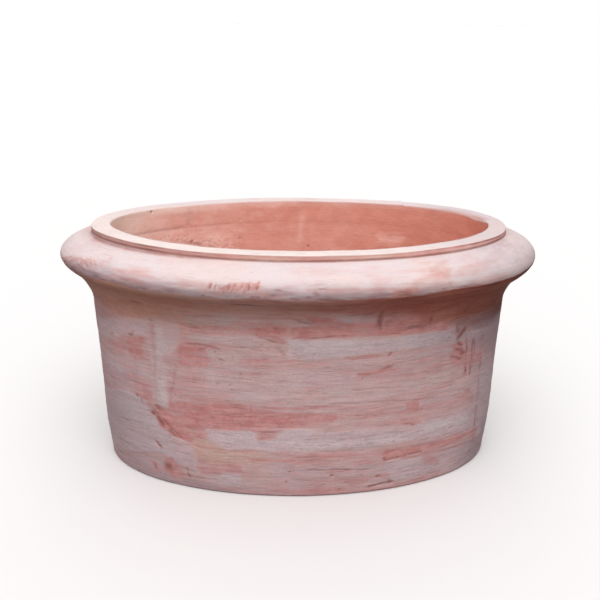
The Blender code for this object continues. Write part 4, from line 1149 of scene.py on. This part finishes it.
def clay(name, below, above, rough, grit):
    """Terracotta under a brushed, worn wash of pale slip.

    below and above are colours under the worn line of the wash and over it: two
    of the wash, one of warm wash, two of the clay and one of thick slip.
    """
    m, tree, shader = new_material(name)
    coord = node(tree, "ShaderNodeTexCoord").outputs["Object"]
    streak = texture(tree, coord, (17, 17, 74), 5, 0.62, 0.6)
    brush = texture(tree, coord, (10, 10, 205), 4, 0.6, 0.35)
    hair = texture(tree, coord, (64, 64, 560), 3, 0.6, 0.25)
    grain = texture(tree, coord, (620, 620, 620), 3, 0.65)
    cloud = texture(tree, coord, (13, 13, 22), 4, 0.6, 0.3)
    blot = texture(tree, coord, (52, 52, 74), 4, 0.62, 0.4)
    speck = texture(tree, coord, (240, 240, 300), 2, 0.5)
    scratch = texture(tree, coord, (48, 48, 1100), 2, 0.5, 0.2)

    def mask(key):
        return node(tree, "ShaderNodeAttribute", attribute_name=key).outputs["Fac"]

    def push(value, noise_value, amount, by=None):
        off = math_node(tree, "MULTIPLY", math_node(tree, "SUBTRACT", noise_value, 0.5), amount)
        if by is not None:
            off = math_node(tree, "MULTIPLY", off, by)
        return math_node(tree, "ADD", value, off)

    bare, pale, dark_and_shade, within = mask("bare"), mask("pale"), mask("dark_and_shade"), mask("within")
    grime_and_shade, warm, rust, rim = mask("grime_and_shade"), mask("warm"), mask("rust"), mask("rim")
    wash_a, wash_b, wash_warm, clay_a, clay_b, slip_colour = (
        b if a == b else blend_colour(tree, rim, b, a) for b, a in zip(below, above)
    )
    # the rim and the inside were smoothed by hand
    quiet = math_node(tree, "ADD", math_node(tree, "MULTIPLY", rim, 0.62), math_node(tree, "MULTIPLY", within, 0.85))
    calm = math_node(tree, "MAXIMUM", math_node(tree, "SUBTRACT", 1.0, quiet), 0.14)
    wear_and_shade = push(push(push(push(bare, streak, 0.45), brush, 0.85), hair, 0.42), blot, 0.30)
    wear_and_shade = push(push(wear_and_shade, grain, 0.32, calm), speck, 0.28, calm)
    cover = spread(tree, wear_and_shade, 0.05, 0.97)
    wash = blend_colour(tree, spread(tree, cloud, 0.35, 0.68), wash_a, wash_b)
    wash = blend_colour(tree, warm, wash, wash_warm)
    body = blend_colour(tree, spread(tree, blot, 0.34, 0.66), clay_a, clay_b)
    colour = blend_colour(tree, cover, wash, body)
    earth = blend_colour(tree, warm, (0.50, 0.165, 0.105), (0.68, 0.335, 0.205))
    colour = blend_colour(tree, rust, colour, earth)
    slip = math_node(tree, "MULTIPLY", pale, spread(tree, hair, 0.30, 0.62, 0.75, 1.0))
    colour = blend_colour(tree, slip, colour, slip_colour)

    # inside, bare clay with a lime bloom
    raw = blend_colour(tree, spread(tree, blot, 0.34, 0.68), (0.715, 0.308, 0.232), (0.750, 0.342, 0.258))
    lime = spread(tree, push(push(pale, blot, 0.14), grain, 0.10), 0.0, 1.0)
    raw = blend_colour(tree, lime, raw, (0.950, 0.635, 0.555))
    raw = blend_colour(tree, math_node(tree, "MULTIPLY", warm, 0.5), raw, (0.860, 0.335, 0.250))
    raw = blend_colour(tree, math_node(tree, "MULTIPLY", bare, rim), raw, (1.0, 0.850, 0.745))
    colour = blend_colour(tree, within, colour, raw)
    # the grey: mostly painted shade, with grey smudges
    colour = blend_colour(tree, grime_and_shade, colour, (0.345, 0.285, 0.325))
    fine_line = spread(tree, scratch, 0.59, 0.69, 0.0, 0.40)
    fine_line = math_node(tree, "MULTIPLY", fine_line, spread(tree, cloud, 0.34, 0.58))
    fine_line = math_node(tree, "MULTIPLY", fine_line, calm)
    colour = blend_colour(tree, fine_line, colour, (0.34, 0.15, 0.13))
    dots = math_node(tree, "MULTIPLY", spread(tree, speck, 0.69, 0.75, 0.0, grit), calm)
    colour = blend_colour(tree, dots, colour, (0.27, 0.11, 0.085))
    # dark brown: painted shade and shadow lines, and dark scratches, pits, nicks and the joint line
    colour = blend_colour(tree, dark_and_shade, colour, (0.165, 0.050, 0.036))
    shade = spread(tree, push(push(push(grain, hair, 0.7), blot, 0.4), speck, 0.7), 0.15, 0.85, -0.12, 0.12)
    shade = math_node(tree, "ADD", math_node(tree, "MULTIPLY", shade, calm), 0.99)
    tone = node(tree, "ShaderNodeVectorMath", operation="SCALE")
    tree.links.new(colour, tone.inputs[0])
    tree.links.new(shade, tone.inputs["Scale"])
    tree.links.new(tone.outputs[0], shader.inputs["Base Color"])
    tree.links.new(spread(tree, grain, 0.3, 0.7, rough - 0.06, rough + 0.05), shader.inputs["Roughness"])
    shader.inputs["Specular IOR Level"].default_value = 0.25

    height = math_node(tree, "ADD", math_node(tree, "MULTIPLY", grain, 0.5), math_node(tree, "MULTIPLY", hair, 0.6))
    height = math_node(tree, "SUBTRACT", height, math_node(tree, "MULTIPLY", dots, 0.5))
    height = math_node(tree, "SUBTRACT", height, math_node(tree, "MULTIPLY", fine_line, 1.2))
    relief = node(tree, "ShaderNodeBump")
    relief.inputs["Strength"].default_value = 0.6
    relief.inputs["Distance"].default_value = 0.0009
    tree.links.new(height, relief.inputs["Height"])
    tree.links.new(relief.outputs[0], shader.inputs["Normal"])
    return m


# the wash on the wall and under the nose is darker and cooler than the same wash on the rim: its cool lavender tint is
# painted cool shade
ON_WALL_COOL_SHADE = ((0.69, 0.555, 0.59), (0.73, 0.54, 0.555), (0.74, 0.53, 0.455), (0.635, 0.262, 0.248), (0.69, 0.352, 0.338), (0.78, 0.68, 0.68))
ON_RIM = ((0.78, 0.685, 0.695), (0.81, 0.665, 0.64), (0.82, 0.58, 0.46), (0.63, 0.27, 0.235), (0.68, 0.36, 0.325), (0.94, 0.825, 0.765))
ON_FLOOR = ((0.64, 0.40, 0.33), (0.66, 0.37, 0.29), (0.66, 0.38, 0.29), (0.54, 0.23, 0.17), (0.60, 0.30, 0.23), (0.78, 0.62, 0.55))
WALL = clay("wall_clay_finish", ON_WALL_COOL_SHADE, ON_RIM, 0.88, 0.22)
RIM = clay("rim_clay_finish", ON_WALL_COOL_SHADE, ON_RIM, 0.87, 0.10)
FLOOR = clay("floor_clay_finish", ON_FLOOR, ON_FLOOR, 0.90, 0.30)


# ------------------------------------------------------------------ meshes
def attribute(mesh, key, values):
    a = mesh.attributes.new(key, "FLOAT", "POINT")
    a.data.foreach_set("value", np.ascontiguousarray(values, np.float32))


def piece(name, material):
    def wrap_up(mesh):
        mesh.materials.append(material)
        mesh.shade_smooth()
        mesh.set_sharp_from_angle(angle=math.radians(50))
        obj = bpy.data.objects.new(name + "_fired", mesh)
        bpy.context.scene.collection.objects.link(obj)
        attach(obj, "root")
        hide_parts(name)
        return obj

    return wrap_up


def sweep(name, start, end, slant, section, material, pitch=0.0015):
    """Closed strip along the oval.

    section(th) gives arrays of r, z, skin t, outward normal (nr, nz) and how
    much of the relief each point takes, one row per station.
    """
    s0, s1 = float(s_of(np.array([math.radians(start)]))[0]), float(s_of(np.array([math.radians(end)]))[0])
    count = int(round((s1 - s0) / pitch)) + 1
    S = np.linspace(s0, s1, count)
    th = th_of(S)
    r, z, t, nr, nz, take = section(th)
    rows, cols = r.shape
    mid = (r.max() + r.min()) / 2
    lean = math.tan(math.radians(slant))
    near_end = 1 - ease(0.0, 0.022, np.minimum(S - s0, s1 - S))
    shift = near_end[:, None] * lean * (r - mid)
    shift[0] += SLIT
    shift[-1] -= SLIT
    thv = th[:, None] + shift / pace(th)[:, None]
    Sv = s_of(thv)
    h, masks = fields((Sv % GIRTH).ravel(), t.ravel(), thv.ravel())
    h = h.reshape(rows, cols) * take
    rv, zv = r + nr * h, z + nz * h
    x, y = oval(thv, rv)
    co = np.stack((x, y, zv), -1).reshape(-1, 3)
    idx = np.arange(rows * cols).reshape(rows, cols)
    a, b = idx[:-1], idx[1:]
    quads = np.stack(
        (a, b, np.roll(b, -1, 1), np.roll(a, -1, 1)), -1
    ).reshape(-1, 4)
    loops = np.concatenate((quads.ravel(), idx[0], idx[-1][::-1]))
    starts = np.concatenate((np.arange(len(quads)) * 4, [len(quads) * 4, len(quads) * 4 + cols]))
    mesh = bpy.data.meshes.new(name + "_fired")
    mesh.vertices.add(len(co))
    mesh.vertices.foreach_set("co", co.ravel())
    mesh.loops.add(len(loops))
    mesh.loops.foreach_set("vertex_index", loops.astype(np.int32))
    mesh.polygons.add(len(starts))
    mesh.polygons.foreach_set("loop_start", starts.astype(np.int32))
    mesh.update(calc_edges=True)
    mesh.validate()
    within = ease(T_INNER - 0.0015, T_INNER + 0.002, t).ravel()
    for key, values in masks.items():
        attribute(mesh, key, values)
    attribute(mesh, "within", within)
    return piece(name, material)(mesh)


def rows_of(th, *columns):
    """Section columns as full arrays, one row per station."""
    return [np.broadcast_to(np.asarray(c, float), (len(th), np.shape(c)[-1])).copy() for c in columns]


def normals(r, z):
    """Outward normals of closed sections that run counter-clockwise in (r, z)."""
    dr = np.roll(r, -1, 1) - np.roll(r, 1, 1)
    dz = np.roll(z, -1, 1) - np.roll(z, 1, 1)
    n = np.maximum(np.hypot(dr, dz), 1e-9)
    return dz / n, -dr / n


def wall_section(th):
    zo = np.concatenate((np.arange(0.0030, NECK_Z - 0.0008, 0.00125), [NECK_Z - SLIT]))
    outer = wall_r(th[:, None], np.broadcast_to(zo, (len(th), len(zo))))
    foot_a = np.radians(np.linspace(-90, 0, 5))[:-1]
    foot_r = outer[:, :1] - 0.0030 + 0.0030 * np.cos(foot_a)
    foot_z = np.broadcast_to(0.0030 + 0.0030 * np.sin(foot_a), foot_r.shape)
    neck = outer[:, -1:]
    one = np.ones((len(th), 1))
    step_r = np.concatenate((neck * 0.5 + REBATE_R * 0.5, REBATE_R * one, REBATE_R * one, REBATE_R * one), 1)
    step_z = np.concatenate(((NECK_Z - SLIT) * one, (NECK_Z - SLIT) * one, 0.265 * one, JOINT_OUT * one), 1)
    zi = np.concatenate((np.arange(JOINT_IN, 0.1820, -0.0016), np.arange(0.1815, FLOOR_T, -0.0040)))
    inner = np.broadcast_to(inner_r(zi), (len(th), len(zi)))
    low_r = np.concatenate(((inner_r(np.array([FLOOR_T]))[0]) * one, -0.0288 * one, -0.0240 * one, -0.0190 * one), 1)
    low_z = np.concatenate((FLOOR_T * one, 0.013 * one, 0 * one, 0 * one), 1)
    r = np.concatenate((foot_r, outer, step_r, inner, low_r), 1)
    z = np.concatenate((foot_z, np.broadcast_to(zo, outer.shape), step_z, np.broadcast_to(zi, inner.shape), low_z), 1)
    t = np.concatenate(
        (
            foot_z,
            np.broadcast_to(zo, outer.shape),
            np.full(step_r.shape, T_NECK),
            np.broadcast_to(T_JOINT + (JOINT_IN - zi), inner.shape),
            np.broadcast_to(T_FLOOR + np.array([0.0, 0.013, 0.026, 0.031]), low_r.shape),
        ),
        1,
    )
    take = np.concatenate(
        (
            np.broadcast_to(np.linspace(0.0, 0.9, 4), foot_r.shape),
            np.ones(outer.shape),
            np.zeros(step_r.shape),
            np.ones(inner.shape),
            np.zeros(low_r.shape),
        ),
        1,
    )
    nr, nz = normals(r, z)
    k = foot_r.shape[1] + outer.shape[1] - 1
    nr[:, k], nz[:, k] = 1.0, 0.0  # the neck edge moves straight out
    k += 1 + step_r.shape[1]
    nr[:, k], nz[:, k] = -1.0, 0.0  # and the inner joint edge straight in
    return r, z, t, nr, nz, take


def roll_section(th):
    n = 112
    t = np.linspace(T_NECK, T_CREASE, n)
    u = np.interp(t - T_NECK, _roll_t, _u)
    r, z = roll_curve(np.broadcast_to(th[:, None], (len(th), n)), np.broadcast_to(u, (len(th), n)))
    z = z.copy()
    z[:, 0] += SLIT
    one = np.ones((len(th), 1))
    slope = (JOINT_OUT - JOINT_IN) / (REBATE_R - WALL_IN_R)
    shelf = JOINT_IN + slope * (0.0 - WALL_IN_R) - 0.0009
    back_r = np.concatenate((0.0001 * one, 0.0001 * one, (REBATE_R + 0.0001) * one, (REBATE_R + 0.0001) * one), 1)
    back_z = np.concatenate((0.310 * one, shelf * one, shelf * one, (NECK_Z + SLIT) * one), 1)
    r, z = np.concatenate((r, back_r), 1), np.concatenate((z, back_z), 1)
    tt = np.concatenate((np.broadcast_to(t, (len(th), n)), np.full(back_r.shape, T_NECK)), 1)
    take = np.concatenate((np.ones((len(th), n)), np.zeros(back_r.shape)), 1)
    take[:, n - 1] = 0.0
    nr, nz = normals(r, z)
    nr[:, 0], nz[:, 0] = 1.0, 0.0
    # a hand-laid moulding: it wanders a little up and down and in and out
    S = s_of(th)
    lift = 0.0007 * noise(S % GIRTH, np.zeros_like(S), 9, 1, 301) + 0.0004 * noise(S % GIRTH, np.zeros_like(S), 24, 1, 302)
    swell = 0.0008 * noise(S % GIRTH, np.zeros_like(S), 7, 1, 303) + 0.0004 * noise(S % GIRTH, np.zeros_like(S), 30, 1, 304)
    amount = np.zeros(r.shape)
    amount[:, :n] = ease(T_NECK, T_NECK + 0.05, t) * (1 - ease(T_CREASE - 0.03, T_CREASE, t))
    z = z + lift[:, None] * amount
    r = r + swell[:, None] * amount
    return r, z, tt, nr, nz, take


def lip_section(th):
    slope = (JOINT_OUT - JOINT_IN) / (REBATE_R - WALL_IN_R)

    def under(rr):
        return JOINT_IN + slope * (rr - WALL_IN_R) + 0.00008

    zo = np.concatenate(([under(0.0)], [0.306, 0.3165], np.arange(CREASE_Z - 0.002, TOP - 0.0017, 0.0008)))
    arc = np.radians(np.linspace(0, 90, 5))
    ro, ri = 0.0015, 0.0017
    top = np.arange(-ro - 0.0013, -LIP_W + ri + 0.0006, -0.0013)
    zi = np.concatenate((np.arange(TOP - ri - 0.0014, JOINT_IN + 0.001, -0.0014), [under(-LIP_W)]))
    r = np.concatenate(
        (np.zeros(len(zo)), -ro + ro * np.cos(arc), top, -LIP_W + ri - ri * np.sin(arc), np.full(len(zi), -LIP_W), [-0.0125])
    )
    z = np.concatenate(
        (zo, TOP - ro + ro * np.sin(arc), np.full(len(top), TOP), TOP - ri + ri * np.cos(arc), zi, [under(-0.0125)])
    )
    t = np.concatenate(
        (
            T_CREASE + zo - CREASE_Z,
            T_EDGE - ro + 2 * ro * np.linspace(0, 1, 5),
            T_EDGE - top,
            T_INNER - ri + 2 * ri * np.linspace(0, 1, 5),
            T_INNER + TOP - zi,
            [T_JOINT],
        )
    )
    take = np.ones(len(r))
    take[:3], take[-1] = 0.0, 0.0
    take[-2] = 1.0
    r, z, t, take = rows_of(th, r, z, t, take)
    nr, nz = normals(r, z)
    nr[:, -2], nz[:, -2] = -1.0, 0.0
    # uneven edges, the lapped joint and a pinched stretch at the right end
    S = s_of(th) % GIRTH
    flat = np.zeros_like(S)
    rise = 0.0006 * noise(S, flat, 6, 1, 321) + 0.0003 * noise(S, flat, 22, 1, 322)
    out = 0.0005 * noise(S, flat, 8, 1, 323) + 0.0003 * noise(S, flat, 34, 1, 324)
    inn = 0.0008 * noise(S, flat, 7, 1, 325) + 0.0004 * noise(S, flat, 30, 1, 326)
    inn = inn - 0.0010 * bump(th, 15.0, 7.0) + 0.0010 * bump(th, 1.0, 5.0) + 0.0028 * bump(th, -85.0, 40.0)
    out = out - 0.0034 * bump(th, -48.0, 24.0)
    high = ease(CREASE_Z + 0.002, TOP, z)
    across = np.clip(-r / LIP_W, 0, 1)
    lap = wrap(S - float(s_of(np.array([math.radians(LIP_SEAM)]))[0]))
    ridge = np.where(lap >= 0, 0.0012 * np.exp(-np.abs(lap) / 0.016), -0.0005 * np.exp(-np.abs(lap) / 0.010))
    z = z + rim_lift(th)[:, None] * ease(0.3035, 0.3245, z) + high * (rise + ridge)[:, None] * (1 - 0.3 * across)
    # the inner edge is pressed down at the right end
    press = (bump(th, 14.0, 9.0) * 0.0032)[:, None]
    z = z - high * press * ease(0.80, 0.97, across)
    outer = (1 - ease(0.02, 0.5, across)) * high
    r = r + outer * out[:, None] + ease(0.45, 1.0, across) * ease(JOINT_IN + 0.004, TOP - 0.004, z) * inn[:, None]
    return r, z, t, nr, nz, take


def coil_section(th):
    corner_r, corner_z, leg = -0.0337, FLOOR_T + 0.0001, 0.0160
    rise = (-0.0277 + 0.0335) / (0.1132 - FLOOR_T)
    u = np.linspace(0, 1, 16)
    hollow = leg * 0.42
    top_r = corner_r + rise * leg
    r = np.concatenate(
        ([corner_r], cubic(top_r, corner_r - 0.0012, corner_r - hollow, corner_r - leg, u))
    )
    z = np.concatenate(
        ([corner_z], cubic(corner_z + leg, corner_z + hollow, corner_z + 0.0012, corner_z, u))
    )
    t = np.concatenate(([T_FLOOR], T_FLOOR - 0.016 + 0.024 * u))
    take = np.concatenate(([0.0, 0.0], np.full(14, 0.7), [0.0]))
    r, z, t, take = rows_of(th, r, z, t, take)
    nr, nz = normals(r, z)
    return r, z, t, nr, nz, take


for name, start, end in (
    ("wall_front", WALL_SEAMS[0], WALL_SEAMS[1]),
    ("wall_right", WALL_SEAMS[1], WALL_SEAMS[2]),
    ("wall_back", WALL_SEAMS[2], WALL_SEAMS[3]),
    ("wall_left", WALL_SEAMS[3], WALL_SEAMS[0] + 360),
):
    sweep(name, start, end, 14.0, wall_section, WALL, 0.0016)

for name, start, end in (
    ("rim_roll_front", ROLL_SEAMS[0], ROLL_SEAMS[1]),
    ("rim_roll_right", ROLL_SEAMS[1], ROLL_SEAMS[2]),
    ("rim_roll_back", ROLL_SEAMS[2], ROLL_SEAMS[3]),
    ("rim_roll_left", ROLL_SEAMS[3], ROLL_SEAMS[0] + 360),
):
    sweep(name, start, end, 11.0, roll_section, RIM, 0.0014 if name == "rim_roll_back" else 0.0010)

sweep("rim_lip", LIP_SEAM, LIP_SEAM + 360, 25.0, lip_section, RIM, 0.0016)
sweep("floor_coil", COIL_SEAM, COIL_SEAM + 360, 25.0, coil_section, FLOOR, 0.0030)


def floor_slab():
    """Rolled slab with three drain holes that were pushed through from above."""
    import bmesh

    rings, spokes = 34, 240
    th = np.linspace(0, 2 * math.pi, spokes, endpoint=False)
    rim_low = np.stack(oval(th, np.full_like(th, -0.0242)), -1)
    rim_top = np.stack(oval(th, np.full_like(th, -0.0337)), -1)
    verts, faces = [], []
    for level, rim, z in ((0, rim_low, 0.0), (1, rim_top, FLOOR_T)):
        for k in range(1, rings + 1):
            f = k / rings
            for p in rim:
                verts.append((p[0] * f, p[1] * f, z))
        verts.append((0.0, 0.0, z))
    per = rings * spokes + 1
    for level in (0, 1):
        base = level * per
        for k in range(rings - 1):
            for j in range(spokes):
                n = (j + 1) % spokes
                q = (base + k * spokes + j, base + k * spokes + n, base + (k + 1) * spokes + n, base + (k + 1) * spokes + j)
                faces.append(q if level == 0 else q[::-1])
        for j in range(spokes):
            n = (j + 1) % spokes
            f = (base + j, base + per - 1, base + n)
            faces.append(f if level == 0 else f[::-1])
    last = (rings - 1) * spokes
    for j in range(spokes):
        n = (j + 1) % spokes
        faces.append((last + j, last + n, per + last + n, per + last + j))
    mesh = bpy.data.meshes.new("slab_blank")
    mesh.from_pydata(verts, [], faces)
    bm = bmesh.new()
    bm.from_mesh(mesh)
    bmesh.ops.recalc_face_normals(bm, faces=bm.faces)
    bm.to_mesh(mesh)
    bm.free()
    blank = bpy.data.objects.new("slab_blank", mesh)
    bpy.context.scene.collection.objects.link(blank)
    cutters = []
    for index, cx in enumerate((-0.130, 0.0, 0.130)):
        profile = ((0.0165, 0.040), (0.0150, 0.0275), (0.0132, 0.0235), (0.0125, 0.019), (0.0125, 0.006), (0.0131, 0.002), (0.0142, -0.010))
        seg = 56
        cv, cf = [], []
        for rad, z in profile:
            for j in range(seg):
                a = 2 * math.pi * j / seg
                w = 1 + 0.020 * math.sin(2 * a + index) + 0.012 * math.sin(5 * a + 2.1 * index)
                cv.append((cx + rad * w * math.cos(a), rad * w * math.sin(a), z))
        for k in range(len(profile) - 1):
            for j in range(seg):
                n = (j + 1) % seg
                cf.append((k * seg + j, (k + 1) * seg + j, (k + 1) * seg + n, k * seg + n))
        cf.append(tuple(range(seg)))
        cf.append(tuple(reversed(range((len(profile) - 1) * seg, len(profile) * seg))))
        cm = bpy.data.meshes.new("drain_tool")
        cm.from_pydata(cv, [], cf)
        bm = bmesh.new()
        bm.from_mesh(cm)
        bmesh.ops.recalc_face_normals(bm, faces=bm.faces)
        bm.to_mesh(cm)
        bm.free()
        tool = bpy.data.objects.new("drain_tool", cm)
        bpy.context.scene.collection.objects.link(tool)
        cutters.append(tool)
        cut = blank.modifiers.new("drain", "BOOLEAN")
        cut.operation, cut.solver, cut.object = "DIFFERENCE", "EXACT", tool
    bpy.context.view_layer.update()
    done = bpy.data.meshes.new_from_object(blank.evaluated_get(bpy.context.evaluated_depsgraph_get()))
    for o in cutters + [blank]:
        bpy.data.objects.remove(o, do_unlink=True)
    co = np.zeros(len(done.vertices) * 3)
    done.vertices.foreach_get("co", co)
    co = co.reshape(-1, 3)
    edge = (np.hypot(co[:, 0] / 0.2493, co[:, 1] / 0.1328))
    free = 1 - ease(0.86, 0.95, edge)
    sx, ty = (co[:, 0] + 0.5) % GIRTH, co[:, 1] + 2.0
    relief = 0.0007 * layers(sx, ty, 14, 14, 401, 3) + 0.0003 * layers(sx, ty, 90, 90, 402, 2)
    upper = co[:, 2] > FLOOR_T - 0.004
    lower = co[:, 2] < 0.003
    co[:, 2] += np.where(upper, relief * free, 0.0) + np.where(lower, np.abs(relief) * 0.8 * free, 0.0)
    done.vertices.foreach_set("co", co.ravel())
    done.update()
    n = len(co)
    attribute(done, "bare", np.clip(0.75 + 0.3 * layers(sx, ty, 18, 18, 403, 3), 0, 1))
    attribute(done, "pale", np.clip(0.25 * layers(sx, ty, 9, 9, 404, 3), 0, 1))
    for key in ("dark_and_shade", "grime_and_shade", "warm", "rust", "rim"):
        attribute(done, key, np.zeros(n))
    attribute(done, "within", np.where(lower, 0.25, 0.6))
    done.materials.clear()
    done.name = "floor_slab_fired"
    piece("floor_slab", FLOOR)(done)


floor_slab()


# ------------------------------------------------------------------ the stage
ground_mesh = bpy.data.meshes.new("ground")
ground_mesh.from_pydata(
    [(-40, -40, -0.0004), (40, -40, -0.0004), (40, 40, -0.0004), (-40, 40, -0.0004)],
    [],
    [(0, 1, 2, 3)],
)
ground = bpy.data.objects.new("ground", ground_mesh)
bpy.context.scene.collection.objects.link(ground)
paper, tree, shader = new_material("paper")
shader.inputs["Base Color"].default_value = (0.90, 0.90, 0.90, 1.0)
shader.inputs["Roughness"].default_value = 0.95
shader.inputs["Specular IOR Level"].default_value = 0.0
ground_mesh.materials.append(paper)
ground.visible_diffuse = False

# Soft dome: strongest overhead, a little from the left and the front, and a
# dim warm ground.
world = bpy.data.worlds.new("dome")
bpy.context.scene.world = world
world.use_nodes = True
tree = world.node_tree
back = [n for n in tree.nodes if n.type == "BACKGROUND"][0]
ray = node(tree, "ShaderNodeTexCoord").outputs["Generated"]


def facing(direction):
    d = node(tree, "ShaderNodeVectorMath", operation="DOT_PRODUCT")
    tree.links.new(ray, d.inputs[0])
    d.inputs[1].default_value = Vector(direction).normalized()
    return d.outputs["Value"]




def lobe(direction, sharp, strength, colour):
    """Part of the dome that shines round one direction."""
    towards = math_node(tree, "MAXIMUM", facing(direction), 0.0)
    amount = math_node(tree, "MULTIPLY", math_node(tree, "POWER", towards, sharp), strength)
    tint = node(tree, "ShaderNodeVectorMath", operation="SCALE")
    tint.inputs[0].default_value = colour
    tree.links.new(amount, tint.inputs["Scale"])
    return tint.outputs[0]


def total(a, b):
    n = node(tree, "ShaderNodeVectorMath", operation="ADD")
    for socket, value in ((n.inputs[0], a), (n.inputs[1], b)):
        if isinstance(value, tuple):
            socket.default_value = value
        else:
            tree.links.new(value, socket)
    return n.outputs[0]


sky = total((0.07, 0.07, 0.07), lobe((0, 0, 1), 3.9, 0.67, (1.0, 0.97, 0.94)))
sky = total(sky, lobe((-0.055, -0.91, 1.0), 4.8, 2.99, (1.0, 0.975, 0.985)))
sky = total(sky, lobe((0.0, 0.8, 0.6), 3.0, 0.75, (1.0, 0.99, 0.98)))
light = blend_colour(tree, spread(tree, facing((0, 0, 1)), -0.12, 0.06), (0.120, 0.078, 0.058), sky)
seen = node(tree, "ShaderNodeLightPath").outputs["Is Camera Ray"]
light = blend_colour(tree, seen, light, (1.0, 1.0, 1.0))
tree.links.new(light, back.inputs["Color"])
back.inputs["Strength"].default_value = 1.0

cam = bpy.data.cameras.new("camera")
cam.lens, cam.sensor_width, cam.sensor_fit = LENS, 36.0, "AUTO"
cam.clip_end = 200
eye = bpy.data.objects.new("camera", cam)
eye.matrix_world = Matrix(
    (
        (cam_x.x, cam_y.x, -forward.x, EYE.x),
        (cam_x.y, cam_y.y, -forward.y, EYE.y),
        (cam_x.z, cam_y.z, -forward.z, EYE.z),
        (0, 0, 0, 1),
    )
)
bpy.context.scene.collection.objects.link(eye)
bpy.context.scene.camera = eye
bpy.context.scene.view_settings.view_transform = "Standard"
